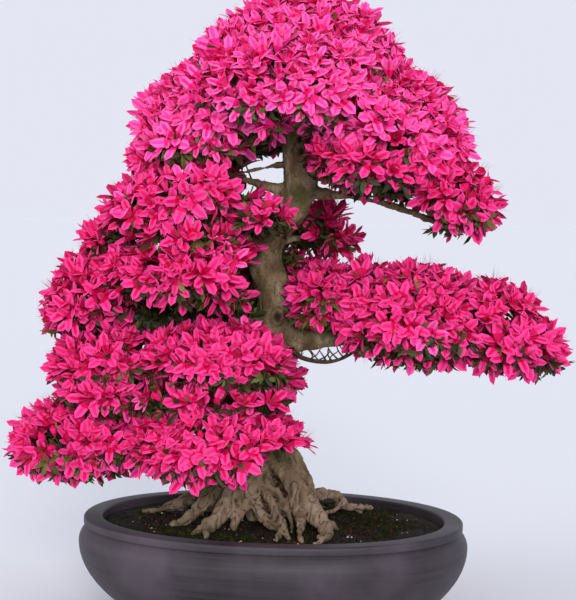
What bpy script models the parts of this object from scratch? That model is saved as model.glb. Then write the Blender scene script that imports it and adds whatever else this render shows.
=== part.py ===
"""A satsuki azalea bonsai in full bloom, standing in its oval unglazed clay pot.

The tree is an informal upright: a tapering trunk with a spreading root flare, boughs that leave
it at different heights, and flat pads of foliage and blossom with open gaps between them.

Frame: metres, +Z up. The origin is the middle of the pot's flat underside, +X is the pot's long
axis with the longest pad on that side, and the tree's front looks along -Y.
"""

import math
from dataclasses import dataclass

import bmesh
import bpy
from mathutils import Matrix, Vector, noise

# Clearance between neighbouring solids, and how far a cutter stands outside the piece it clears.
GAP = 0.0003
CUT_GROWTH = 0.0005
WELD_DISTANCE = 0.00001
MERGE_DISTANCE = 0.0001

# Pot: an oval bowl with a flat lip, a groove under the lip and a bulging belly.
POT_LENGTH = 0.540
POT_WIDTH = 0.410
POT_HEIGHT = 0.145
POT_SQUARENESS = 2.1
POT_SEGMENTS = 32
LIP_WIDTH = 0.0265
LIP_DEPTH = 0.0105
LIP_ROUNDING = 0.003
GROOVE_DEPTH = 0.0035
GROOVE_HEIGHT = 0.132
BELLY_BULGE = 0.007
BELLY_HEIGHT = 0.110
FOOT_INSET = 0.065
FOOT_HEIGHT = 0.010
FOOT_RISER = 0.007
WALL_THICKNESS = 0.030
FLOOR_THICKNESS = 0.020
BELLY_STEPS = 5
SHOULDER_STEPS = 2

# Soil: a level bed under the roots that falls a little towards the pot's wall.
SOIL_TOP = 0.138
SOIL_EDGE_TOP = 0.134
SOIL_LEVEL_INSET = 0.045
SOIL_WALL_CLEARANCE = 0.0008

# Trunk: height, sway to the right, sway to the back, and thickness at each turn of its line.
GROUND = SOIL_TOP + GAP
TRUNK_TURNS = (
    (GROUND - 0.020, -0.012, 0.006, 0.112),
    (0.170, -0.014, 0.006, 0.096),
    (0.215, -0.013, 0.006, 0.086),
    (0.300, -0.029, 0.012, 0.080),
    (0.350, -0.019, 0.010, 0.073),
    (0.400, -0.002, 0.004, 0.064),
    (0.455, -0.001, 0.000, 0.050),
    (0.515, -0.018, 0.004, 0.050),
    (0.550, -0.009, 0.004, 0.053),
    (0.600, 0.028, 0.000, 0.049),
    (0.650, 0.031, -0.004, 0.045),
    (0.700, 0.025, -0.008, 0.041),
    (0.790, 0.018, -0.012, 0.016),
)
TRUNK_STEPS = 2
TRUNK_RESOLUTION = 4

# Roots fan out from the trunk's base and dive into the soil. Each row: heading in degrees
# from +X, reach from the trunk's middle, height where it leaves the trunk, thickness, and the
# sideways swing of its middle.
ROOTS = (
    (-20.0, 0.122, 0.196, 0.026, 0.010),
    (-53.0, 0.158, 0.200, 0.028, -0.012),
    (-72.0, 0.112, 0.192, 0.024, 0.006),
    (-96.0, 0.096, 0.186, 0.024, -0.004),
    (-121.0, 0.140, 0.190, 0.026, 0.012),
    (-139.0, 0.128, 0.184, 0.022, -0.006),
    (-161.0, 0.134, 0.186, 0.026, 0.008),
    (170.0, 0.180, 0.178, 0.028, -0.010),
    (148.0, 0.124, 0.188, 0.028, 0.006),
    (118.0, 0.112, 0.190, 0.026, -0.008),
    (88.0, 0.104, 0.186, 0.026, 0.006),
    (62.0, 0.118, 0.190, 0.024, -0.006),
    (36.0, 0.176, 0.184, 0.024, 0.012),
)
ROOT_STEPS = 5
ROOT_TIP_THICKNESS = 0.008
ROOT_DIP = 0.002
ROOT_RESOLUTION = 2

BOUGH_STEPS = 6
BOUGH_RESOLUTION = 2

# Foliage masses: how uneven their skins are, the size of the lumps, and the sphere they start as.
UNEVENNESS = 0.10
LUMP_FREQUENCY = 1.7
SPIN_AXIS = Vector((1.0, 0.4, 0.7))
MASS_SUBDIVISIONS = 3
MASS_FACE_SHARE = 0.46


@dataclass(frozen=True)
class Bough:
    """One tapering limb, from the trunk's axis at a height to where it enters its mass."""

    name: str
    height: float
    heading: float
    reach: float
    rise: float
    sag: float
    thickness: float
    tip_thickness: float


@dataclass(frozen=True)
class Mass:
    """One pad of foliage and blossom: its middle, half sizes, and slope down to the right."""

    name: str
    middle: tuple
    half_length: float
    half_depth: float
    rise: float
    drop: float
    turn: float = 0.0
    slope: float = 0.0


BOUGHS = (
    Bough("bough_right_low", 0.398, -4.0, 0.165, 0.016, 0.0, 0.030, 0.018),
    Bough("bough_right_high", 0.604, -2.0, 0.200, 0.010, 0.050, 0.015, 0.007),
    Bough("bough_left_high", 0.603, 183.0, 0.100, 0.026, 0.0, 0.014, 0.008),
    Bough("bough_left_thin", 0.650, 186.0, 0.098, -0.022, 0.0, 0.007, 0.004),
    Bough("bough_left_middle", 0.396, 190.0, 0.150, 0.036, 0.0, 0.024, 0.012),
    Bough("bough_left_shelf", 0.318, 205.0, 0.160, 0.024, 0.0, 0.024, 0.012),
    Bough("bough_left_low", 0.236, 200.0, 0.170, -0.004, 0.0, 0.026, 0.012),
    Bough("bough_back_low", 0.290, 112.0, 0.105, 0.018, 0.0, 0.020, 0.010),
    Bough("bough_back_middle", 0.450, 98.0, 0.105, 0.014, 0.0, 0.018, 0.009),
    Bough("bough_back_right", 0.535, 52.0, 0.105, 0.008, 0.0, 0.015, 0.008),
    Bough("bough_front", 0.545, -98.0, 0.075, 0.014, 0.0, 0.013, 0.008),
)

MASSES = (
    Mass("foliage_crown_top", (0.032, 0.0, 0.765), 0.145, 0.125, 0.118, 0.060),
    Mass("foliage_crown_left", (-0.057, -0.025, 0.705), 0.135, 0.125, 0.100, 0.050, 0.0, -20.0),
    Mass("foliage_crown_right", (0.128, -0.025, 0.694), 0.148, 0.120, 0.100, 0.052, 0.0, 27.0),
    Mass("foliage_crown_front", (0.030, -0.115, 0.727), 0.125, 0.075, 0.095, 0.040),
    Mass("foliage_crown_back", (0.030, 0.110, 0.710), 0.150, 0.095, 0.100, 0.056),
    Mass("foliage_crown_low", (0.128, -0.070, 0.640), 0.082, 0.080, 0.050, 0.034, 0.0, 12.0),
    Mass("foliage_right_shoulder", (0.240, -0.035, 0.600), 0.078, 0.085, 0.060, 0.044, 0.0, 14.0),
    Mass("foliage_left_high", (-0.116, -0.045, 0.588), 0.118, 0.115, 0.076, 0.046, 0.0, -20.0),
    Mass("foliage_left_high_back", (-0.150, 0.080, 0.575), 0.078, 0.085, 0.060, 0.036),
    Mass("foliage_left_middle", (-0.120, -0.050, 0.488), 0.125, 0.120, 0.072, 0.048),
    Mass("foliage_left_middle_tip", (-0.228, -0.025, 0.460), 0.106, 0.100, 0.070, 0.044, 0.0, -24.0),
    Mass("foliage_front", (-0.010, -0.085, 0.574), 0.052, 0.040, 0.034, 0.026),
    Mass("foliage_back_right", (0.058, 0.095, 0.552), 0.062, 0.065, 0.046, 0.034),
    Mass("foliage_right_near", (0.078, 0.010, 0.466), 0.070, 0.105, 0.044, 0.034),
    Mass("foliage_right_middle", (0.200, -0.030, 0.425), 0.112, 0.120, 0.086, 0.055, 0.0, 4.0),
    Mass("foliage_right_tip", (0.318, -0.025, 0.402), 0.092, 0.092, 0.056, 0.036, 0.0, 12.0),
    Mass("foliage_left_shelf", (-0.064, -0.105, 0.372), 0.114, 0.078, 0.060, 0.044),
    Mass("foliage_left_shelf_tip", (-0.218, -0.045, 0.364), 0.100, 0.095, 0.066, 0.038, 0.0, -8.0),
    Mass("foliage_left_low", (-0.058, -0.125, 0.258), 0.130, 0.080, 0.072, 0.046),
    Mass("foliage_left_low_tip", (-0.262, -0.040, 0.248), 0.112, 0.110, 0.072, 0.046, 0.0, -6.0),
    Mass("foliage_back_low", (-0.085, 0.115, 0.328), 0.115, 0.088, 0.060, 0.036),
    Mass("foliage_back_middle", (-0.040, 0.120, 0.472), 0.120, 0.088, 0.062, 0.036),
)


def clear_scene() -> None:
    """Remove every object that the scene holds."""
    for item in list(bpy.data.objects):
        bpy.data.objects.remove(item, do_unlink=True)


def new_collection(name: str) -> bpy.types.Collection:
    """Make a collection under the scene's own."""
    collection = bpy.data.collections.new(name)
    bpy.context.scene.collection.children.link(collection)
    return collection


def make_material(name: str, colour: tuple, roughness: float) -> bpy.types.Material:
    """Make a plain Principled finish. Nothing on the tree or the pot is metal."""
    material = bpy.data.materials.new(name)
    material.use_nodes = True
    shader = material.node_tree.nodes["Principled BSDF"]
    shader.inputs["Base Color"].default_value = (*colour, 1.0)
    shader.inputs["Roughness"].default_value = roughness
    shader.inputs["Metallic"].default_value = 0.0
    return material


def add_object(name: str, mesh: bpy.types.Mesh, collection: bpy.types.Collection) -> bpy.types.Object:
    """Put a mesh into a collection as an object of the same name, shaded smooth."""
    mesh.name = name
    mesh.shade_smooth()
    item = bpy.data.objects.new(name, mesh)
    collection.objects.link(item)
    return item


def evaluated_mesh(item: bpy.types.Object) -> bpy.types.Mesh:
    """Give a new mesh of an object as its modifiers leave it."""
    graph = bpy.context.evaluated_depsgraph_get()
    return bpy.data.meshes.new_from_object(item.evaluated_get(graph))


def apply_modifiers(item: bpy.types.Object) -> None:
    """Replace an object's mesh with the one that its modifiers make."""
    mesh = evaluated_mesh(item)
    worn_out = item.data
    item.modifiers.clear()
    item.data = mesh
    bpy.data.meshes.remove(worn_out)


def hide_as_cutter(item: bpy.types.Object) -> None:
    """Mark an object as one that only shapes others."""
    item.hide_render = True
    item.display_type = "WIRE"


def oval_radii(inset: float) -> tuple:
    """Give the half length and half width of the pot's oval, drawn in by an inset."""
    return POT_LENGTH / 2 - inset, POT_WIDTH / 2 - inset


def turned_oval(name: str, profile: list, collection: bpy.types.Collection) -> bpy.types.Object:
    """Turn a profile of (inset from the rim, height) round the pot's axis and make it oval.

    The profile starts and ends on the axis, which an inset of None stands for.
    """
    radius = POT_LENGTH / 2
    mesh = bpy.data.meshes.new(name)
    line = [(0.0 if inset is None else radius - inset, 0.0, height) for inset, height in profile]
    mesh.from_pydata(line, [(i, i + 1) for i in range(len(line) - 1)], [])
    item = add_object(name, mesh, collection)
    screw = item.modifiers.new("turn", "SCREW")
    screw.steps = POT_SEGMENTS
    screw.render_steps = POT_SEGMENTS
    screw.use_merge_vertices = True
    screw.merge_threshold = MERGE_DISTANCE
    apply_modifiers(item)
    for vertex in item.data.vertices:
        across = math.hypot(vertex.co.x, vertex.co.y)
        if across < MERGE_DISTANCE:
            continue
        half_length, half_width = oval_radii(radius - across)
        vertex.co.x = half_length * squared_off(vertex.co.x / across)
        vertex.co.y = half_width * squared_off(vertex.co.y / across)
    item.data.shade_smooth()
    return item


def squared_off(share: float) -> float:
    """Turn a sine or cosine into the superellipse's, so the oval's ends are a little full."""
    return math.copysign(abs(share) ** (2.0 / POT_SQUARENESS), share)


def pot_profile() -> list:
    """Give the pot's section from the top of its inner floor, over the lip, to the underside."""
    inner = [
        (None, FLOOR_THICKNESS),
        (FOOT_INSET + 0.012, FLOOR_THICKNESS),
        (WALL_THICKNESS + 0.006, FLOOR_THICKNESS + 0.022),
        (WALL_THICKNESS, BELLY_HEIGHT - 0.020),
        (LIP_WIDTH, POT_HEIGHT - LIP_DEPTH),
    ]
    lip = [
        (LIP_WIDTH, POT_HEIGHT - LIP_ROUNDING / 2),
        (LIP_WIDTH - LIP_ROUNDING / 2, POT_HEIGHT),
        (LIP_ROUNDING, POT_HEIGHT),
        (0.0, POT_HEIGHT - LIP_ROUNDING),
        (0.0, POT_HEIGHT - LIP_DEPTH + LIP_ROUNDING),
    ]
    belly_inset = -BELLY_BULGE
    shoulder = []
    for step in range(SHOULDER_STEPS):
        share = 1.0 - step / SHOULDER_STEPS
        inset = belly_inset + (GROOVE_DEPTH - belly_inset) * share**2
        shoulder.append((inset, BELLY_HEIGHT + (GROOVE_HEIGHT - BELLY_HEIGHT) * share))
    belly = []
    for step in range(BELLY_STEPS + 1):
        share = step / BELLY_STEPS
        inset = belly_inset + (FOOT_INSET - belly_inset) * share**2
        belly.append((inset, BELLY_HEIGHT + (FOOT_HEIGHT - BELLY_HEIGHT) * share))
    foot = [(FOOT_INSET + FOOT_RISER, FOOT_HEIGHT * 0.6), (FOOT_INSET + FOOT_RISER, 0.0), (None, 0.0)]
    return inner + lip + shoulder + belly + foot


def soil_profile() -> list:
    """Give the soil's section from the middle of its top to the middle of its underside."""
    clear = SOIL_WALL_CLEARANCE
    bottom = FLOOR_THICKNESS + GAP
    return [
        (None, SOIL_TOP),
        (SOIL_LEVEL_INSET, SOIL_TOP),
        (WALL_THICKNESS + clear, SOIL_EDGE_TOP),
        (WALL_THICKNESS + clear, BELLY_HEIGHT - 0.020),
        (WALL_THICKNESS + 0.006 + clear, FLOOR_THICKNESS + 0.022),
        (FOOT_INSET + 0.012 + clear, bottom),
        (None, bottom),
    ]


def smooth_stations(stations: tuple, steps: int) -> list:
    """Read a Catmull-Rom curve through the stations, with `steps` points to each span."""
    rows = [Vector(row) for row in stations]
    rows = [rows[0] * 2 - rows[1]] + rows + [rows[-1] * 2 - rows[-2]]
    line = []
    for before, start, end, after in zip(rows, rows[1:], rows[2:], rows[3:]):
        for step in range(steps):
            t = step / steps
            bend = before * -1 + start * 3 - end * 3 + after
            swing = before * 2 - start * 5 + end * 4 - after
            line.append(start + (end - before) * (t / 2) + swing * (t**2 / 2) + bend * (t**3 / 2))
    line.append(rows[-2])
    return line


def trunk_line(steps: int = TRUNK_STEPS) -> list:
    """Give the trunk's (x, y, z) points with their thickness, from the ground to its tip."""
    turns = tuple((sway, back, height, thick) for height, sway, back, thick in TRUNK_TURNS)
    return [(Vector(row[:3]), row[3]) for row in smooth_stations(turns, steps)]


def trunk_middle(height: float) -> Vector:
    """Give the point of the trunk's axis at a height."""
    line = trunk_line()
    for (low, _), (high, _) in zip(line, line[1:]):
        if low.z <= height <= high.z:
            return low.lerp(high, (height - low.z) / (high.z - low.z))
    raise ValueError("the height is off the trunk")


def tube(name: str, line: list, resolution: int, collection: bpy.types.Collection) -> bpy.types.Object:
    """Make a closed tube along (point, thickness) rows, with its caps welded on."""
    curve = bpy.data.curves.new(name, "CURVE")
    curve.dimensions = "3D"
    curve.bevel_depth = 1.0
    curve.bevel_resolution = resolution
    curve.use_fill_caps = True
    spline = curve.splines.new("POLY")
    spline.points.add(len(line) - 1)
    for point, (place, thickness) in zip(spline.points, line):
        point.co = (*place, 1.0)
        point.radius = thickness / 2
    holder = bpy.data.objects.new(name + "_line", curve)
    collection.objects.link(holder)
    mesh = evaluated_mesh(holder)
    bpy.data.objects.remove(holder, do_unlink=True)
    bpy.data.curves.remove(curve)
    weld(mesh)
    return add_object(name, mesh, collection)


def weld(mesh: bpy.types.Mesh) -> None:
    """Join a mesh's loose caps to its sides, turn its faces outwards and make them flat."""
    shape = bmesh.new()
    shape.from_mesh(mesh)
    bmesh.ops.remove_doubles(shape, verts=shape.verts[:], dist=WELD_DISTANCE)
    bmesh.ops.recalc_face_normals(shape, faces=shape.faces[:])
    bmesh.ops.triangulate(shape, faces=shape.faces[:])
    shape.to_mesh(mesh)
    shape.free()


def root_line(heading: float, reach: float, height: float, thickness: float, swing: float) -> list:
    """Give a root's points: it leaves the trunk steeply, levels out and dips into the soil."""
    along = Vector((math.cos(math.radians(heading)), math.sin(math.radians(heading)), 0.0))
    across = Vector((-along.y, along.x, 0.0))
    foot = trunk_middle(height)
    start = Vector((foot.x, foot.y, 0.0)) + along * 0.012
    line = []
    for step in range(ROOT_STEPS + 1):
        share = step / ROOT_STEPS
        fall = (1.0 - share) ** 2.2
        side = swing * math.sin(math.pi * share)
        thick = thickness + (ROOT_TIP_THICKNESS - thickness) * share**0.8
        lift = GROUND - ROOT_DIP + (height - GROUND) * fall
        place = start + along * ((reach - 0.012) * share) + across * side
        line.append((Vector((place.x, place.y, lift)), thick))
    return line


def bough_line(bough: Bough) -> list:
    """Give a bough's points from the trunk's axis, with its rise, its sag and its taper."""
    heading = math.radians(bough.heading)
    along = Vector((math.cos(heading), math.sin(heading), 0.0))
    start = trunk_middle(bough.height)
    line = []
    for step in range(BOUGH_STEPS + 1):
        share = step / BOUGH_STEPS
        lift = bough.rise * share - bough.sag * share**2
        thick = bough.thickness + (bough.tip_thickness - bough.thickness) * share
        line.append((start + along * (bough.reach * share) + Vector((0.0, 0.0, lift)), thick))
    return line


def boxes_meet(first: bpy.types.Object, second: bpy.types.Object) -> bool:
    """Say whether two objects' boxes overlap, so that a cut between them can do anything."""
    for axis in range(3):
        first_ends = [corner[axis] for corner in first.bound_box]
        second_ends = [corner[axis] for corner in second.bound_box]
        if max(first_ends) < min(second_ends) or max(second_ends) < min(first_ends):
            return False
    return True


def add_boolean(item: bpy.types.Object, other: bpy.types.Object, operation: str) -> None:
    """Put a Boolean modifier with another object onto an object."""
    boolean = item.modifiers.new(operation.lower() + "_" + other.name, "BOOLEAN")
    boolean.operation = operation
    boolean.solver = "EXACT"
    boolean.object = other


def tube_clearance(name: str, line: list, resolution: int, collection: bpy.types.Collection) -> bpy.types.Object:
    """Make the cutter that clears a gap round a tube: a little thicker, and longer at its tip."""
    grown = [(place, thickness + CUT_GROWTH * 2) for place, thickness in line]
    before, end = line[-2][0], line[-1][0]
    grown.append((end + (end - before).normalized() * CUT_GROWTH, grown[-1][1]))
    cutter = tube(name + "_clearance", grown, resolution, collection)
    hide_as_cutter(cutter)
    return cutter


def mass_clearance(pad: bpy.types.Object, collection: bpy.types.Collection) -> bpy.types.Object:
    """Make the cutter that clears a gap round a pad, by moving its skin outwards."""
    shape = bmesh.new()
    shape.from_mesh(pad.data)
    for vertex in shape.verts:
        vertex.co += vertex.normal * CUT_GROWTH
    mesh = bpy.data.meshes.new(pad.name + "_clearance")
    shape.to_mesh(mesh)
    shape.free()
    cutter = add_object(mesh.name, mesh, collection)
    hide_as_cutter(cutter)
    return cutter


def keep_largest_body(item: bpy.types.Object) -> None:
    """Drop the offcuts of a cut, and keep the body with the most skin."""
    shape = bmesh.new()
    shape.from_mesh(item.data)
    bmesh.ops.dissolve_degenerate(shape, dist=WELD_DISTANCE, edges=shape.edges[:])
    left = set(shape.faces)
    bodies = []
    while left:
        body = {left.pop()}
        rim = list(body)
        while rim:
            face = rim.pop()
            sides = [edge for edge in face.edges if len(edge.link_faces) == 2]
            near = {other for edge in sides for other in edge.link_faces} & left
            left -= near
            body |= near
            rim.extend(near)
        bodies.append(body)
    bodies.sort(key=lambda faces: sum(face.calc_area() for face in faces))
    offcuts = [face for body in bodies[:-1] for face in body]
    bmesh.ops.delete(shape, geom=offcuts, context="FACES")
    shape.to_mesh(item.data)
    shape.free()
    item.data.shade_smooth()


def cut_round(item: bpy.types.Object, cutters: list) -> None:
    """Take the shapes of the cutters that reach an object out of it."""
    for cutter in cutters:
        if boxes_meet(item, cutter):
            add_boolean(item, cutter, "DIFFERENCE")
    apply_modifiers(item)
    keep_largest_body(item)


def build_pot(collection: bpy.types.Collection) -> None:
    """Build the oval clay pot."""
    pot = turned_oval("pot", pot_profile(), collection)
    pot.data.materials.append(make_material("unglazed_clay", (0.060, 0.046, 0.048), 0.70))


def build_soil(collection: bpy.types.Collection) -> None:
    """Build the bed of soil that fills the pot."""
    soil = turned_oval("soil", soil_profile(), collection)
    soil.data.materials.append(make_material("dark_soil", (0.012, 0.008, 0.005), 0.95))


def build_trunk(bark: bpy.types.Material, collections: tuple) -> None:
    """Build the trunk with its root flare, cut flat at the ground."""
    wood, cutters = collections
    trunk = tube("trunk", trunk_line(), TRUNK_RESOLUTION, wood)
    for number, row in enumerate(ROOTS):
        root = tube("root_%02d" % number, root_line(*row), ROOT_RESOLUTION, cutters)
        hide_as_cutter(root)
        add_boolean(trunk, root, "UNION")
    add_boolean(trunk, ground_cutter(cutters), "DIFFERENCE")
    apply_modifiers(trunk)
    keep_largest_body(trunk)
    trunk.data.materials.clear()
    trunk.data.materials.append(bark)


def ground_cutter(collection: bpy.types.Collection) -> bpy.types.Object:
    """Make the block whose top is the level that the trunk and its roots are cut at."""
    shape = bmesh.new()
    bmesh.ops.create_cube(shape, size=1.0)
    depth = 0.1
    place = Matrix.Translation((0.0, 0.0, GROUND - depth / 2))
    bmesh.ops.transform(shape, matrix=place @ Matrix.Diagonal((1.0, 1.0, depth, 1.0)), verts=shape.verts)
    mesh = bpy.data.meshes.new("below_ground")
    shape.to_mesh(mesh)
    shape.free()
    block = add_object("below_ground", mesh, collection)
    hide_as_cutter(block)
    return block


def build_mass(mass: Mass, seed: int, collection: bpy.types.Collection) -> bpy.types.Object:
    """Build one pad: a sphere pressed flatter below, made uneven, turned and set on its slope."""
    shape = bmesh.new()
    bmesh.ops.create_icosphere(shape, subdivisions=MASS_SUBDIVISIONS, radius=1.0)
    bmesh.ops.rotate(shape, matrix=Matrix.Rotation(seed, 3, SPIN_AXIS), verts=shape.verts)
    for vertex in shape.verts:
        way = vertex.co.normalized()
        lump = noise.noise(way * LUMP_FREQUENCY + Vector((seed * 3.7, seed * 1.9, 0.0)))
        height = mass.rise if way.z > 0.0 else mass.drop
        swell = 1.0 + UNEVENNESS * lump
        vertex.co = Vector((way.x * mass.half_length, way.y * mass.half_depth, way.z * height)) * swell
    turned = Matrix.Rotation(math.radians(mass.turn), 4, "Z")
    sloped = Matrix.Rotation(math.radians(mass.slope), 4, "Y")
    place = Matrix.Translation(mass.middle) @ sloped @ turned
    bmesh.ops.transform(shape, matrix=place, verts=shape.verts)
    mesh = bpy.data.meshes.new(mass.name)
    shape.to_mesh(mesh)
    shape.free()
    pad = add_object(mass.name, mesh, collection)
    thin_out = pad.modifiers.new("thin_out", "DECIMATE")
    thin_out.ratio = MASS_FACE_SHARE
    thin_out.use_collapse_triangulate = True
    apply_modifiers(pad)
    return pad


def build_boughs(bark: bpy.types.Material, collections: tuple) -> list:
    """Build the boughs, each cut back to the trunk and to the boughs before it."""
    wood, cutters = collections
    clearances = [tube_clearance("trunk", trunk_line(), TRUNK_RESOLUTION, cutters)]
    for bough in BOUGHS:
        line = bough_line(bough)
        limb = tube(bough.name, line, BOUGH_RESOLUTION, wood)
        limb.data.materials.append(bark)
        cut_round(limb, clearances)
        clearances.append(tube_clearance(bough.name, line, BOUGH_RESOLUTION, cutters))
    return clearances


def build_masses(clearances: list, collections: tuple) -> None:
    """Build the foliage masses, each cut round the limbs and the masses before it."""
    foliage, cutters = collections
    blossom = make_material("azalea_blossom", (0.680, 0.040, 0.160), 0.65)
    taken = list(clearances)
    for seed, mass in enumerate(MASSES):
        pad = build_mass(mass, seed, foliage)
        pad.data.materials.append(blossom)
        clearance = mass_clearance(pad, cutters)
        cut_round(pad, taken)
        taken.append(clearance)


def main() -> None:
    """Build the whole bonsai."""
    clear_scene()
    tree = new_collection("azalea_bonsai")
    cutters = new_collection("cutters")
    bark = make_material("bark", (0.150, 0.105, 0.063), 0.85)
    build_pot(tree)
    build_soil(tree)
    build_trunk(bark, (tree, cutters))
    clearances = build_boughs(bark, (tree, cutters))
    build_masses(clearances, (tree, cutters))


main()
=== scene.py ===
"""Looks of a satsuki azalea bonsai in full bloom, standing in an oval unglazed clay pot.

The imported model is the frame: its pads of foliage give the crown's outline, and here each of them
is replaced by twigs that grow on from the limbs, by sprays of leaves and by open flowers. The
trunk, its roots and its boughs become one piece of wood with its bark's relief, the pot gets a
finely turned skin, and the soil gets its grit, moss and fallen bits.

Everything is in metres, in the frame's own axes: +Z up, and the tree's front towards -Y.
"""

from __future__ import annotations

import logging
import math
from dataclasses import dataclass, field
from enum import IntEnum
from itertools import product

import bmesh
import bpy
import numpy as np
from bpy.types import ID, Material, Mesh, Node, NodeSocket, NodeTree, Object
from mathutils import Matrix, Quaternion, Vector, noise
from mathutils.bvhtree import BVHTree

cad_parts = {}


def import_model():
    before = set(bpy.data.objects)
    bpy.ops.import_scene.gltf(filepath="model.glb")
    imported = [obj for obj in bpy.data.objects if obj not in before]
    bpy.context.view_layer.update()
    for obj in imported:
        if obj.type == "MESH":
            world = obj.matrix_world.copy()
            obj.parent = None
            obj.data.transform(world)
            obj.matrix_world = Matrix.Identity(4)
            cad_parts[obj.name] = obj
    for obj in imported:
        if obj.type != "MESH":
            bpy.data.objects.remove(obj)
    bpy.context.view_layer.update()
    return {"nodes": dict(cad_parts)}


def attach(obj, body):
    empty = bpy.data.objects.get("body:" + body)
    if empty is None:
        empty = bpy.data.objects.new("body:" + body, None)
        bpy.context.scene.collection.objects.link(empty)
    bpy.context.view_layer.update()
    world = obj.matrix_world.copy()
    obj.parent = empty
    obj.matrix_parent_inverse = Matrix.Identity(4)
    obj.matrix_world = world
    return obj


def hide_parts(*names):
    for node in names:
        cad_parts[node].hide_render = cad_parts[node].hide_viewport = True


LOG = logging.getLogger("azalea_bonsai")
BODY = "root"
UP = Vector((0.0, 0.0, 1.0))
TINY = 1e-12
Array = np.ndarray
Chance = np.random.Generator
Colour = tuple[int, int, int]
Triple = tuple[float, float, float]

# The waves round a fluted limb: how many, how they drift along it, and their share of the depth.
FLUTE_WAVES = ((3.0, 1.0, 0.6), (5.0, -1.3, 0.4))
FLUTE_TURN = 0.22

# The soil's height, and the trunk's bends that its solid shares: height, x, y and thickness.
GROUND = 0.1383
TRUNK_TURNS = (
    (GROUND - 0.020, -0.012, 0.010, 0.050),
    (0.160, -0.013, 0.009, 0.058),
    (0.190, -0.014, 0.007, 0.078),
    (0.225, -0.014, 0.007, 0.086),
    (0.300, -0.029, 0.012, 0.080),
    (0.350, -0.019, 0.010, 0.073),
    (0.400, -0.002, 0.004, 0.064),
    (0.455, -0.001, 0.000, 0.050),
    (0.515, -0.018, 0.004, 0.050),
    (0.550, -0.009, 0.004, 0.053),
    (0.600, 0.028, 0.000, 0.049),
    (0.650, 0.031, -0.004, 0.045),
    (0.700, 0.025, -0.008, 0.041),
    (0.790, 0.018, -0.012, 0.016),
)


class Petal(IntEnum):
    """The zones of a flower, from its throat to its rim, and its threads."""

    THROAT = 0
    DEEP = 1
    VIVID = 2
    BRIGHT = 3
    THREAD = 4


class Tone(IntEnum):
    """The two blends of pink, dealt out by spray, as steps in the shade numbers; low on the tree the darker
    one is painted shade.
    """

    RICH = 0
    CLEAR = 10


class Leaf(IntEnum):
    """The greens of the leaves, dealt out by spray."""

    DARK = 0
    OLIVE = 1
    FRESH = 2
    YOUNG = 3


class Litter(IntEnum):
    """What lies on the soil."""

    DARK_GRIT = 0
    BROWN_GRIT = 1
    RED_BARK = 2
    PUMICE = 3
    MOSS = 4
    PALE_MOSS = 5


def linear(colour: Colour) -> tuple[float, ...]:
    """Turn a screen colour of 0 to 255 a channel into the shader's linear one, opaque."""
    shares = [channel / 255.0 for channel in colour]
    return (*(s / 12.92 if s <= 0.04045 else ((s + 0.055) / 1.055) ** 2.4 for s in shares), 1.0)


@dataclass
class Wiring:
    """A node tree while it is being wired."""

    tree: NodeTree

    def add(self, kind: str, values: dict | None = None, **settings: object) -> Node:
        """Add a node, with its settings and the values of its inputs.

        Args:
            kind: The node's type.
            values: Input values, or sockets to link, by input name or number.
            **settings: The node's own properties.

        Returns:
            The node.
        """
        node = self.tree.nodes.new(kind)
        for key, value in settings.items():
            setattr(node, key, value)
        for key, value in (values or {}).items():
            self.feed(node.inputs[key], value)
        return node

    def feed(self, socket: NodeSocket, value: object) -> None:
        """Feed an input.

        Args:
            socket: The input.
            value: Its value, or a socket to link to it.
        """
        if isinstance(value, NodeSocket):
            self.tree.links.new(value, socket)
        else:
            socket.default_value = value

    def math(self, operation: str, first: object, second: object) -> NodeSocket:
        """Add a sum, product or other operation on two values."""
        return self.add("ShaderNodeMath", {0: first, 1: second}, operation=operation).outputs[0]


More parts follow.
